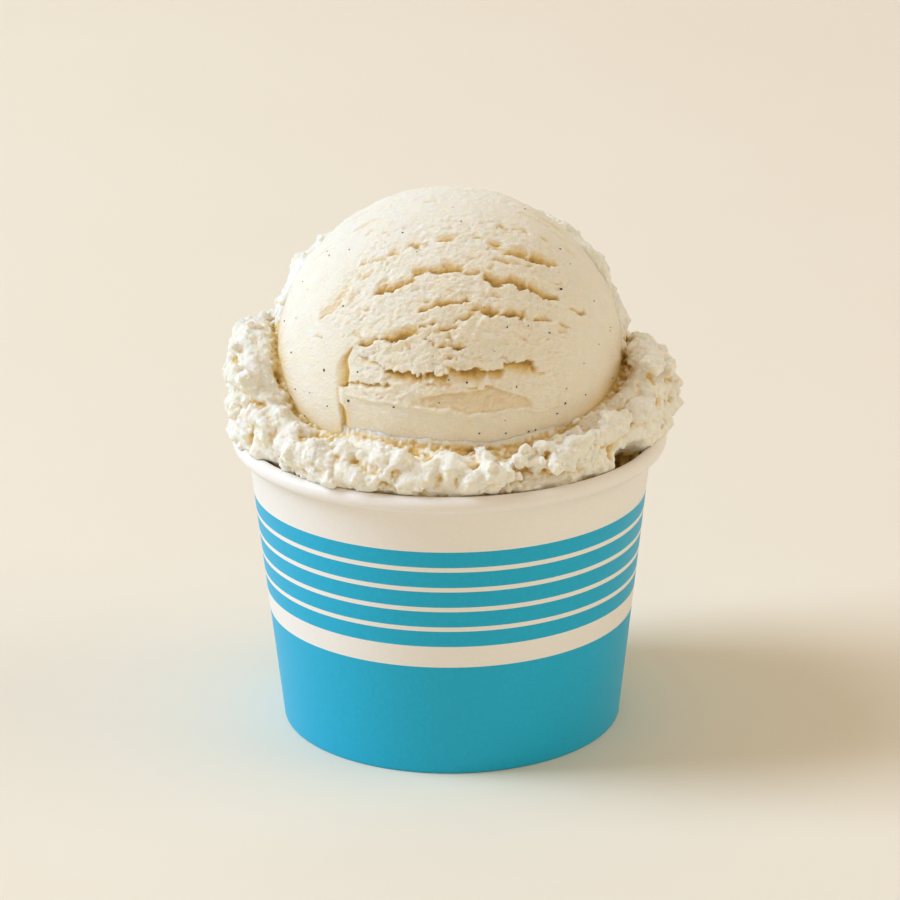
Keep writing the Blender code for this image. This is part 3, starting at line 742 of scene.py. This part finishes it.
def collar_contact_shade(points):
    """Painted shade on the ball by the collar: strength * exp(-height / reach) above the line where
    the collar meets the ball. Strength and reach grow with the groove between the two."""
    bearing = np.degrees(np.arctan2(points[:, 0], -points[:, 1]))
    crest = np.interp(bearing, COLLAR[:, 0], COLLAR[:, 1], period=360)
    groove = np.interp(bearing, COLLAR[:, 0], COLLAR[:, 6], period=360) * GROOVE_FILL
    above = np.clip(points[:, 2] - (crest - groove - 0.5), 0, None)
    strength = 0.45 + 0.85 * fade(groove / 2)
    return strength * np.exp(-above / (0.9 + 0.65 * groove))


def graded(*runs):
    """Angles run by run: each run is (from, to, number of steps), and the last end is left out."""
    return np.concatenate([np.linspace(start, end, steps, endpoint=False) for start, end, steps in runs])


def on_ball(side, lift, depth, lean=0.0):
    """Points on the ball at side and lift: along the unit normal (sin s, -cos s cos l, cos s sin l)
    by the radius less the depth, and along the sweep by the lean."""
    s, l = np.radians(side), np.radians(lift)
    normal = np.stack([np.sin(s), -np.cos(s) * np.cos(l), np.cos(s) * np.sin(l)], axis=-1)
    sweep = np.stack([np.zeros_like(l), np.sin(l), np.cos(l)], axis=-1)
    return (BALL_CENTRE + normal * (BALL_RADIUS - np.asarray(depth))[..., None]
            + sweep * np.asarray(lean + np.zeros_like(s))[..., None])


def ball_relief(side, lift):
    """Depth and lean of the whole skin, and how hollow each place is, for its painted shade."""
    sink, lips, lean = tear_relief(side, lift)
    steps, lip, pocket = step_relief(side, lift)
    depth = sink - lips + steps + fine_relief(side, lift, torn_share(side, lift, lip))
    return depth, lean, 1.3 * np.clip(np.maximum(sink / 0.95, pocket), 0, 1)


side_rows = graded((-89, -56, 18), (-56, 56, 194), (56, 89, 18))
lift_columns = graded((-180, -30, 30), (-30, -20, 12), (-20, 80, 282), (80, 130, 64), (130, 180, 18))
side, lift = np.meshgrid(side_rows, lift_columns, indexing="ij")
depth, lean, hollow = ball_relief(side, lift)
ball_points = on_ball(side, lift, depth, lean).reshape(-1, 3)
poles = BALL_CENTRE + np.array([[-BALL_RADIUS, 0, 0], [BALL_RADIUS, 0, 0]])
# Painted shade: tears, pockets and the groove by the collar darken the skin's colour.
hollow = SKIN_SHADE + hollow.ravel() + collar_contact_shade(ball_points)

rows, columns = side.shape
column = np.arange(columns)
beside = (column + 1) % columns
left_pole, right_pole = rows * columns, rows * columns + 1
last_row = (rows - 1) * columns
fans = np.concatenate([
    np.stack([np.full(columns, left_pole), column, beside], axis=1),
    np.stack([np.full(columns, right_pole), last_row + beside, last_row + column], axis=1)])
ball_triangles = np.concatenate([fans, triangles_of(grid_faces(rows, columns))])
ball_mesh = make_mesh("gelato_ball", np.concatenate([ball_points, poles]), ball_triangles,
                      hollow=np.append(hollow, [0, 0]))
add_piece("gelato_ball", ball_mesh, gelato, "gelato")
print("Deepest tear:", round(float(depth.max()), 2), "mm")

# %% [markdown]
# ## The collar
#
# The collar is what the scoop pressed out over the rim: torn, granular gelato, thin and low in
# front, thick at both sides, and running up the ball behind as a fringe. A height field can't make
# such crumbs, because they overhang and stand apart. So the collar starts as a smooth ring whose
# section changes with the bearing round the axis, lumps and crumbs are strewn over it, and a voxel
# remesh fuses them into one closed skin, as the real mass is one.

# %% The collar's ring
CREST_STAND = 2.8
HOLLOWS = ((59.0, 7.5, 4.0), (-54.0, 6.0, 0.9))   # bearing, half width, depth under the collar
PULL_IN = 0.8           # how far the ring lies inside the solid, to leave room for crumbs, mm
CORE_FLOOR = 58.0       # the ring's hidden back starts at this height inside the ball, mm
CORE_RADIUS = 31.0
CORE_DEPTH = 4.0        # how deep under the ball's skin it lies, mm
# The rows down inside the cup: radius, height, share of the hollow there, and 1 if the row shows.
CUP_ROWS = ((41.0, CUP_HEIGHT - 0.8, 1.0, 1), (40.6, 58.0, 1.0, 1), (39.9, 54.0, 0.3, 1),
            (37.0, 52.5, 0.0, 0), (30.0, 52.5, 0.0, 0))


def ball_radius_at(height):
    """Radius of the ball's level circle at a height: the square root of R^2 - dz^2."""
    return np.sqrt(np.clip(BALL_RADIUS ** 2 - (height - BALL_CENTRE[2]) ** 2, 0, None))


def ring_section(bearing):
    """Radius and height of the ring's closed section at each bearing, and 1 on the rows that show.
    It climbs inside the ball, steps out over the fringe, drops into the groove, rises to the crest,
    follows a superellipse to the bulge, tucks in at the rim, and goes down inside the cup."""
    (crest, bulge, bulge_height, rim, groove, groove_depth, fullness, fringe_top,
     stand) = (np.interp(bearing, COLLAR[:, 0], values, period=360) for values in COLLAR.T[1:])
    groove_depth = groove_depth * GROOVE_FILL
    floor = crest - groove_depth
    behind = fade((np.abs(bearing) - 100) / 12)
    ragged = 3.0 * line_noise(bearing, 14.0, 700) + 1.6 * line_noise(bearing, 5.0, 701)
    top = np.maximum(fringe_top + ragged * fade((np.abs(bearing) - 108) / 10), floor + 0.5)
    radii, heights, shows = [], [], []

    def row(radius, height, show):
        radii.append(radius + np.zeros_like(bearing))
        heights.append(height + np.zeros_like(bearing))
        shows.append(show)

    for share in (0.0, 0.5, 1.0):
        height = CORE_FLOOR + (top - 3 - CORE_FLOOR) * share
        row(np.minimum(ball_radius_at(height), CORE_RADIUS) - CORE_DEPTH, height, 0)
    for share in np.linspace(0, 1, 8):
        height = top + (floor - top) * share
        closing = np.maximum(fade((1 - share) * 6 + 0.5), behind)
        reach = stand * fade(share * 5) * closing - 0.5 * PULL_IN
        scale = 1 + reach / BALL_RADIUS
        row(ball_radius_at(height) * scale, BALL_CENTRE[2] + (height - BALL_CENTRE[2]) * scale, 1)
    edge = ball_radius_at(crest) + groove + CREST_STAND - PULL_IN * 0.4
    row(ball_radius_at(floor) + 0.5 * groove + 1.8 * behind, floor - 0.3, 1)
    row(ball_radius_at(floor) + 0.7 * groove + 1.0 + 1.2 * behind, floor + 0.55 * groove_depth - 0.5, 1)
    for share in np.linspace(0.1, 1, 10):
        rise = np.cos(share * math.pi / 2)
        spread = (1 - rise ** fullness) ** (1 / fullness)
        row(edge + (bulge - PULL_IN - edge) * spread,
            bulge_height + (crest - PULL_IN * 0.6 - bulge_height) * rise, 1)
    hollow = np.zeros_like(bearing)
    for middle, half_width, deepest in HOLLOWS:
        hollow = np.maximum(hollow, deepest * fade(1.4 - np.abs(bearing - middle) / half_width))
    row(rim + 0.5 * (bulge - rim) - 0.5 * PULL_IN - 0.5 * hollow, CUP_HEIGHT + 2.4, 1)
    row(rim - hollow, CUP_HEIGHT + 0.5, 1)
    for radius, height, share, show in CUP_ROWS:
        row(radius - hollow * share, height, show)
    return np.array(radii), np.array(heights), np.array(shows)


def whole_ring(steps):
    """Points and quads of the ring all the way round, and 1 for the quads that show."""
    bearing = np.arange(steps) * 360.0 / steps - 180
    radii, heights, shows = ring_section(bearing)
    turn = np.radians(bearing)[None, :]
    points = np.stack([radii * np.sin(turn), -radii * np.cos(turn), heights], axis=-1)
    quads = grid_faces(len(radii), steps, wrap_rows=True)
    return points.reshape(-1, 3), quads, shows[quads[:, 0] // steps] * shows[quads[:, 1] // steps]


# %% [markdown]
# A lump is a ball of 42 points, stretched and dented at random. Lumps of 2 to 6 mm sit half sunk in
# the ring and make the big folds. Crumbs of about 1 mm cling in patches, where the mass tore apart.
# Their own skin is grainy, and noise gives that later.

# %% Lumps and crumbs


def small_ball():
    """The 42 points and 80 triangles of a once divided icosahedron of radius 1."""
    shape = bmesh.new()
    bmesh.ops.create_icosphere(shape, subdivisions=2, radius=1.0)
    points = np.array([corner.co[:] for corner in shape.verts])
    faces = np.array([[corner.index for corner in face.verts] for face in shape.faces])
    shape.free()
    return points, faces


BALL_42, BALL_42_FACES = small_ball()


def lumps(centres, sizes, seed):
    """A dented, stretched small ball at every centre: each point is the ball's point times a dent,
    times three stretches, turned by a random rotation, times the size."""
    random = np.random.default_rng(seed)
    count = len(centres)
    dents = random.uniform(0.72, 1.28, (count, len(BALL_42), 1))
    stretch = random.uniform(0.55, 1.5, (count, 1, 3))
    turns = np.linalg.qr(random.normal(size=(count, 3, 3)))[0]
    shapes = (BALL_42[None] * dents * stretch) @ turns
    points = centres[:, None, :] + shapes * sizes[:, None, None]
    faces = BALL_42_FACES[None] + (np.arange(count) * len(BALL_42))[:, None, None]
    return points.reshape(-1, 3), faces.reshape(-1, 3)


def joined(*parts):
    """Several (points, triangles) pairs as one."""
    starts = np.cumsum([0] + [len(points) for points, faces in parts])
    return (np.concatenate([points for points, faces in parts]),
            np.concatenate([faces + start for (points, faces), start in zip(parts, starts)]))


def fused(points, triangles, voxel):
    """The closed outer skin of overlapping solids, by a voxel remesh: points and quads."""
    mesh = make_mesh("fusing", points, triangles)
    item = bpy.data.objects.new("fusing", mesh)
    bpy.context.scene.collection.objects.link(item)
    remesh = item.modifiers.new("remesh", "REMESH")
    remesh.mode = "VOXEL"
    remesh.voxel_size = voxel * MM
    shown = item.evaluated_get(bpy.context.evaluated_depsgraph_get())
    result = shown.to_mesh()
    found = np.empty(len(result.vertices) * 3, dtype=np.float32)
    result.vertices.foreach_get("co", found)
    corners = np.empty(len(result.loops), dtype=np.int32)
    result.loops.foreach_get("vertex_index", corners)
    shown.to_mesh_clear()
    bpy.data.objects.remove(item)
    bpy.data.meshes.remove(mesh)
    return found.reshape(-1, 3).astype(float) / MM, corners.reshape(-1, 4).astype(np.int64)


def strewn(points, triangles, keep, count, seed):
    """Random places on a skin, spread evenly by area over the triangles that keep marks, with
    their normals."""
    random = np.random.default_rng(seed)
    corner = points[triangles[keep]]
    facing = np.cross(corner[:, 1] - corner[:, 0], corner[:, 2] - corner[:, 0])
    area = np.linalg.norm(facing, axis=1)
    chosen = random.choice(len(area), count, p=area / area.sum())
    u, v = np.sqrt(random.random(count)), random.random(count)
    share = np.stack([1 - u, u * (1 - v), u * v], axis=1)[..., None]
    return (corner[chosen] * share).sum(axis=1), facing[chosen] / (area[chosen][:, None] + 1e-12)


# %% [markdown]
# After the remesh the skin is worked once more. Points that touch the paper rim are pushed off it.
# Noise from 2.4 mm down to 0.6 mm breaks the last roundness. How hollow each place is comes from
# the skin itself: its points are averaged with their neighbours again and again, and where the
# smoothed skin lies outside the real one, the place is a hollow, and its colour gets painted shade.

# %% Finish of the collar's skin


def clear_of_rim(points):
    """Moves points out of the bead, a ring of tube radius BEAD_ROUND, in from the wall, and back
    to the collar's own radius at the rim, which grows by 1 mm for each mm above it."""
    reach = np.hypot(points[:, 0], points[:, 1])
    out, up = reach - BEAD_RADIUS, points[:, 2] - (CUP_HEIGHT - BEAD_ROUND)
    gap = np.hypot(out, up)
    push = np.clip(BEAD_ROUND + 0.12 - gap, 0, None)
    reach = reach + push * out / (gap + 1e-9)
    height = points[:, 2] + push * up / (gap + 1e-9)
    inner = wall_radius(height) - BOARD - 0.15
    under = height < CUP_HEIGHT - BEAD_ROUND
    reach = np.where(under & (reach > inner) & (reach < BEAD_RADIUS), inner, reach)
    turn = np.arctan2(points[:, 0], -points[:, 1])
    rim = np.interp(np.degrees(turn), COLLAR[:, 0], COLLAR[:, 4], period=360)
    reach = np.minimum(reach, rim + 0.5 + np.clip(height - CUP_HEIGHT, -0.4, None))
    height = np.where(reach > BEAD_RADIUS, np.maximum(height, CUP_HEIGHT - 0.5), height)
    return np.stack([reach * np.sin(turn), -reach * np.cos(turn), height], axis=1)


def neighbour_mean(values, quads):
    """The mean of each point's values over the points that share an edge with it."""
    start, end = np.concatenate([quads[:, [k, (k + 1) % 4]] for k in range(4)]).T
    count = np.maximum(np.bincount(start, minlength=len(values)), 1)
    return np.stack([np.bincount(start, values[end, axis], len(values)) / count
                     for axis in range(3)], axis=1)


def hollow_of(points, quads, normals, steps, scale):
    """How far the skin, smoothed that many times over its edges, lies outside each point."""
    smooth = points
    for _ in range(steps):
        smooth = neighbour_mean(smooth, quads)
    return ((smooth - points) * normals).sum(axis=1) / scale


def relaxed(points, quads, steps):
    """Points moved halfway to the mean of their neighbours, as melting rounds an edge."""
    for _ in range(steps):
        points = 0.5 * (points + neighbour_mean(points, quads))
    return points


def grainy(points, quads):
    """Grains along the normals: ridges of 2.4 and 1.2 mm, cells of 1.1 mm and noise of 0.6 mm."""
    normals = point_normals(points, triangles_of(quads))
    ridges = 0.5 - np.abs(soft_noise(points, 2.4, 401)) - 0.6 * np.abs(soft_noise(points, 1.2, 404))
    cells = 0.6 - cell_noise(points, 1.1, 402) ** 2
    patch = fade(0.4 + soft_noise(points, 3.0, 400))
    push = (0.26 * ridges + 0.2 * cells) * (0.3 + 0.7 * patch) + 0.14 * soft_noise(points, 0.6, 403)
    return points + normals * push[:, None]


# %% Strew and fuse the collar
# The clumps that the photo shows: bearing, height and reach of the centre, size in mm.
CLUMPS = ((-49, 68.5, 42.6, 2.8), (-44, 67.4, 43.0, 2.6), (-38, 68.6, 42.8, 3.4), (-35, 65.6, 43.8, 3.2),
          (-30, 66.2, 43.6, 3.4), (-27, 69.4, 41.4, 2.8), (-21, 65.9, 42.8, 2.6), (-15, 68.8, 41.2, 2.4),
          (-9, 66.2, 42.4, 2.2), (-1, 67.6, 41.6, 2.6), (4, 65.8, 42.6, 2.8), (9, 65.6, 42.8, 2.8),
          (16, 66.4, 42.2, 2.8), (22, 68.6, 41.0, 2.4), (25.5, 70.6, 39.9, 2.0), (31, 66.8, 42.4, 2.6),
          (37, 69.4, 42.0, 3.0), (44, 70.6, 42.4, 3.2), (50, 72.4, 42.6, 3.0), (62, 72.6, 44.0, 3.2),
          (74, 79.6, 43.4, 3.0), (82, 76.4, 45.4, 2.4), (90, 71.6, 45.0, 2.4), (-86, 76.2, 44.0, 2.6),
          (-78, 70.4, 44.6, 2.8), (-94, 68.4, 44.6, 2.2), (-70, 77.4, 43.4, 3.0), (-62, 71.0, 43.4, 2.8))
LUMPS = 700
LUMP_SIZES = (1.0, 3.2)         # smallest and largest radius, mm
CRUMBS = 19000
CRUMB_SIZES = (0.28, 0.88)      # raised to a power, which makes the small ones more common
CRUMB_POWER = 1.3
POCKET_SIZE = 5.5       # lattice of the collar's pockets, mm
POCKET_DEPTH = 1.8
RING_STEPS = 720
RING_VOXEL = 0.5        # voxel that fuses the ring and its lumps, mm
COLLAR_VOXEL = 0.26     # voxel that fuses the crumbs on, mm
COLLAR_SEED = 500


def off_ball(points):
    """Height over the ball's skin."""
    return np.linalg.norm(points - BALL_CENTRE, axis=1) - BALL_RADIUS


def collar_skin(seed):
    """Points and quads of the whole collar. The smooth ring is moved along its normals by swell less
    pockets, and lumps and clumps are fused to it and rounded. Crumbs are fused on, and grain comes
    last. Swell and pockets fade out towards the ball, where a film would break through its skin."""
    random = np.random.default_rng(seed)
    points, quads, shown = whole_ring(RING_STEPS)
    triangles = triangles_of(quads)
    swell = soft_noise(points, 7.0, seed + 1) * 1.2 + soft_noise(points, 3.6, seed + 2) * 0.6
    pockets = POCKET_DEPTH * fade(4 * soft_noise(points, POCKET_SIZE, seed + 3) - 0.9)
    pockets *= fade((80 - points[:, 2]) / 3)
    free = fade((points[:, 2] - 62.5) / 3.5) * fade((off_ball(points) + 0.2) / 1.4)
    points = points + point_normals(points, triangles) * (free * (swell - pockets))[:, None]

    spots, facing = strewn(points, triangles, np.tile(shown > 0, 2), LUMPS, seed + 4)
    open_skin = (off_ball(spots) > 2.4) | (spots[:, 2] > 84) | (random.random(len(spots)) < 0.25)
    spots, facing = spots[open_skin], facing[open_skin]
    sizes = random.uniform(*LUMP_SIZES, len(spots)) * np.where(off_ball(spots) < 2.4, 0.5, 1.0)
    centres = spots - facing * (sizes * random.uniform(0.5, 1.0, len(spots)))[:, None]
    turn, height, reach, size = np.array(CLUMPS).T
    turn = np.radians(turn)
    for shift in (-2.2, 0.0, 2.2):
        shifted = turn + (shift + random.uniform(-1, 1, len(turn))) / reach
        bulk = np.stack([reach * np.sin(shifted), -reach * np.cos(shifted),
                         height + random.uniform(-1.0, 1.0, len(turn))], axis=1)
        centres = np.concatenate([centres, bulk])
        sizes = np.append(sizes, size * random.uniform(0.4, 0.85, len(turn)))
    skin, quads = fused(*joined((points, triangles), lumps(centres, sizes, seed + 5)), RING_VOXEL)
    skin = relaxed(skin, quads, 2)

    hidden = ((off_ball(skin) < 0.1) | (skin[:, 2] < 57))[quads].all(axis=1)
    triangles = triangles_of(quads)
    spots, facing = strewn(skin, triangles, np.tile(~hidden, 2), CRUMBS, seed + 6)
    clustered = soft_noise(spots, 4.5, seed + 7) > random.uniform(-0.45, 0.45, len(spots))
    spots, facing = spots[clustered], facing[clustered]
    sizes = random.uniform(*CRUMB_SIZES, len(spots)) ** CRUMB_POWER
    centres = spots - facing * (sizes * random.uniform(0.15, 0.85, len(spots)))[:, None]
    skin, quads = fused(*joined((skin, triangles), lumps(centres, sizes, seed + 8)), COLLAR_VOXEL)
    return clear_of_rim(grainy(skin, quads)), quads


collar_points, collar_quads = collar_skin(COLLAR_SEED)
print("Collar:", len(collar_points), "points before it is split")

# %% [markdown]
# The fused collar is too heavy for one piece, so it is split by bearing into sectors with equally
# many points. Each sector runs a little past its ends, where it dives under its neighbour and is
# closed by a fan, so no seam shows and every sector is a closed solid that light can wander in.
# The dive follows normals that are averaged over many neighbours, so that crumbs keep their shape.

# %% Split the collar
SECTORS = 7
OVERLAP = 3.0           # degrees that a sector runs past its ends
DIVE = 0.3              # how deep its ends lie under the neighbour, mm
DIVE_ROUNDS = 50        # how often the dive's normals are averaged
# Rounds of smoothing, and the depth in mm under the smoothed skin that counts as 1.
FINE_HOLLOW = (16, 0.35)
BROAD_HOLLOW = (110, 0.65)


def collar_painted_shade(points, quads, normals):
    """Painted shade on the collar, by how hollow it is: sunk below its own smoothed skin, close to the
    ball, or down inside the rim."""
    sunk = 0.4 * hollow_of(points, quads, normals, *FINE_HOLLOW) - 0.1
    sunk += hollow_of(points, quads, normals, *BROAD_HOLLOW)
    # Painted shade close to the ball's skin, where the collar meets it.
    beside = 0.3 + 0.6 * fade((points[:, 2] - 71) / 4) * fade((45 - points[:, 1]) / 40)
    sunk += beside * np.exp(-np.clip(off_ball(points), 0, None) / 0.9) * fade((90 - points[:, 2]) / 5)
    # Painted shade down inside the rim, heavier on the right side, where the gap lies in shadow.
    rim_gap_shade = fade((CUP_HEIGHT + 0.1 - points[:, 2]) / 1.6)
    rim_gap_shade *= fade((BEAD_RADIUS - 0.2 - np.hypot(points[:, 0], points[:, 1])) / 0.9)
    print("Hollow of 50, 75, 90 and 97 % of it:", np.percentile(sunk, (50, 75, 90, 97)).round(2))
    return np.clip(sunk + np.where(points[:, 0] > 0, 1.5, 0.9) * rim_gap_shade, 0, 2)


def sector(first, last, bearing, hollow):
    """Points, triangles and hollow values of the sector between two bearings."""
    past = np.maximum(first - bearing, bearing - last)
    quads = collar_quads[(past[collar_quads] < OVERLAP).all(axis=1)]
    used, local = np.unique(quads, return_inverse=True)
    quads = local.reshape(quads.shape)
    dive = DIVE * fade(past[used] / OVERLAP)
    points = collar_points[used] - sinking[used] * dive[:, None]
    edges = np.concatenate([quads[:, [k, (k + 1) % 4]] for k in range(4)])
    kind = np.unique(np.sort(edges, axis=1) @ np.array([len(points), 1]), return_inverse=True)[1]
    rim = edges[np.bincount(kind)[kind] == 1]
    at_last = bearing[used][rim[:, 0]] > (first + last) / 2
    ends = np.stack([points[rim[at_last == side].ravel()].mean(axis=0) for side in (False, True)])
    fans = np.stack([rim[:, 1], rim[:, 0], len(points) + at_last], axis=1)
    return (np.concatenate([points, ends]), np.concatenate([triangles_of(quads), fans]),
            np.append(hollow[used], [1.0, 1.0]))


sinking = point_normals(collar_points, triangles_of(collar_quads))
collar_values = collar_painted_shade(collar_points, collar_quads, sinking)
for _ in range(DIVE_ROUNDS):
    sinking = neighbour_mean(sinking, collar_quads)
sinking /= np.linalg.norm(sinking, axis=1, keepdims=True) + 0.2
collar_bearing = np.degrees(np.arctan2(collar_points[:, 0], -collar_points[:, 1]))
stops = np.percentile(collar_bearing, np.linspace(0, 100, SECTORS + 1))
stops[[0, -1]] = -180, 180
for number, (first, last) in enumerate(zip(stops[:-1], stops[1:]), 1):
    middle = (first + last) / 2
    around = (collar_bearing - middle + 180) % 360 - 180 + middle
    points, triangles, values = sector(first, last, around, collar_values)
    name = f"gelato_collar_{number}"
    add_piece(name, make_mesh(name, points, triangles, hollow=values), gelato,
              "gelato")

# %% [markdown]
# ## Vanilla specks
#
# The black dots are ground vanilla pod, about 0.1 to 0.5 mm across, lying in the skin. They are
# real grains: small dented balls, half sunk. Those that catch the eye in front are placed one by
# one, and finer ones are strewn all over. Pod is dark brown, dry and matt.

# %% Strew the specks
POD = "#2b211a"
POD_ABRADED = "#5a4636"
STREWN_SPECKS = 70


def pod_material():
    """Ground vanilla pod: dark, dry plant fibre, a little lighter where it is abraded."""
    material, tree, shader = new_material("ground_vanilla_pod")
    place = put(tree, "ShaderNodeTexCoord").outputs["Object"]
    grain = put(tree, "ShaderNodeTexNoise", {"Vector": place, "Scale": 6000.0, "Detail": 2.0})
    colour = put(tree, "ShaderNodeMix", {"Factor": grain.outputs["Fac"], "A": linear(POD),
                                         "B": linear(POD_ABRADED)}, data_type="RGBA")
    tree.links.new(colour.outputs[2], shader.inputs["Base Color"])
    shader.inputs["Roughness"].default_value = 0.7
    return material


FRONT_SPECKS = ((-33.8, 66.5), (-14.8, 65.3), (-10, 55.3), (-44.3, 13.8), (-1.5, 49.3), (39, 71),
                (38.8, 47.9), (54.8, 52.3), (26, 29.8), (34, 28), (-18.2, 1.9), (-3.4, 4),
                (-34.5, 2.1), (-43, -2.3), (5.3, -10.4), (-2.3, -10.9), (9.5, -6.9), (11.1, -13.9),
                (18.3, -8), (26.4, -9.2), (28.9, -9.2), (21.9, 8.4), (5.6, 10.5), (39.9, -0.8),
                (40.3, -14.5), (29.5, -17), (-53, 60), (-36, 40))
random = np.random.default_rng(900)
speck_side = np.append([s for s, l in FRONT_SPECKS], random.uniform(-70, 70, STREWN_SPECKS))
speck_lift = np.append([l for s, l in FRONT_SPECKS], random.uniform(-15, 175, STREWN_SPECKS))
speck_depth = ball_relief(speck_side[:, None], speck_lift[:, None])[0][:, 0]
speck_places = on_ball(speck_side, speck_lift, speck_depth)
speck_sizes = np.append(random.uniform(0.13, 0.22, len(FRONT_SPECKS)),
                        random.uniform(0.06, 0.17, STREWN_SPECKS))
speck_points, speck_faces = lumps(speck_places, speck_sizes, 901)
add_piece("vanilla_specks", make_mesh("vanilla_specks", speck_points, speck_faces), pod_material())

# %% [markdown]
# ## Table, light and colour
#
# The cup stands on a seamless pale beige sweep. A broad, cool window light comes from the left and
# a little behind, in two panels, one low and one high, so shadows have soft edges and lie to the
# right. A white wall on the right lifts that side, and the warm room fills the shadows, a little
# more from the front than from all round.

# %% Stage and lights
SWEEP_BEIGE = "#efe6d2"
SWEEP_CLOUD = "#f2ead8"


def sweep_material():
    """Matt seamless paper, faintly clouded."""
    material, tree, shader = new_material("seamless_paper_beige")
    place = put(tree, "ShaderNodeTexCoord").outputs["Object"]
    clouds = put(tree, "ShaderNodeTexNoise", {"Vector": place, "Scale": 6.0, "Detail": 2.0})
    colour = put(tree, "ShaderNodeMix", {"Factor": clouds.outputs["Fac"], "A": linear(SWEEP_BEIGE),
                                         "B": linear(SWEEP_CLOUD)}, data_type="RGBA")
    tree.links.new(colour.outputs[2], shader.inputs["Base Color"])
    shader.inputs["Roughness"].default_value = 0.85
    return material


def sweep_points(steps):
    """A floor that starts to curve up 1.2 m behind the cup: a level run, a quarter circle of
    radius 600 mm and an upright run, 5 m wide."""
    turn = np.linspace(0, math.pi / 2, steps)
    depth = np.concatenate([[-2500.0], 1200 + 600 * np.sin(turn), [1800.0]])
    height = np.concatenate([[0.0], 600 - 600 * np.cos(turn), [3000.0]])
    width = np.array([-2500.0, 2500.0])
    return np.stack(np.broadcast_arrays(width[None, :], depth[:, None], height[:, None]), axis=-1)


sweep = sweep_points(24)
sweep_mesh = make_mesh("sweep", sweep.reshape(-1, 3),
                       grid_faces(len(sweep), 2, wrap_columns=False)[:, ::-1])
sweep_mesh.materials.append(sweep_material())
floor = bpy.data.objects.new("sweep", sweep_mesh)
bpy.context.scene.collection.objects.link(floor)


LIGHT_DISTANCE = 2.5    # metres
LIGHT_AIM = 0.06        # height that every light points at, metres
ROOM_WARMTH = "#ffe1c4"
ROOM_STRENGTH = 0.425
# Each light: bearing from the front towards the right and height, in degrees, then its side in
# metres, its power in watts and its colour.
LIGHTS = {
    "window_low": (-90, 33, 1.0, 35.5, "#cae2ff"),
    "window_high": (-94, 52, 1.0, 23.3, "#deedff"),
    "room_front": (0, 20, 1.8, 6.0, "#ffedc8"),
    "white_wall": (85, 30, 1.8, 15.2, "#fcfff8"),
}


def soft_light(name, bearing, height, size, power, colour):
    """A square area light at a bearing and height, LIGHT_DISTANCE away and turned to the cup."""
    data = bpy.data.lights.new(name, "AREA")
    data.size = size
    data.energy = power
    data.color = linear(colour)[:3]
    item = bpy.data.objects.new(name, data)
    turn, rise = math.radians(bearing), math.radians(height)
    out = np.array([math.cos(rise) * math.sin(turn), -math.cos(rise) * math.cos(turn), math.sin(rise)])
    item.location = out * LIGHT_DISTANCE + np.array([0.0, 0.0, LIGHT_AIM])
    item.rotation_euler = (math.pi / 2 - rise, 0.0, turn)
    bpy.context.scene.collection.objects.link(item)


for name, settings in LIGHTS.items():
    soft_light(name, *settings)
print("Lights:", ", ".join(LIGHTS))

world = bpy.data.worlds.new("warm_room")
world.use_nodes = True
world.node_tree.nodes["Background"].inputs["Color"].default_value = linear(ROOM_WARMTH)
world.node_tree.nodes["Background"].inputs["Strength"].default_value = ROOM_STRENGTH
bpy.context.scene.world = world
bpy.context.scene.view_settings.view_transform = "Standard"
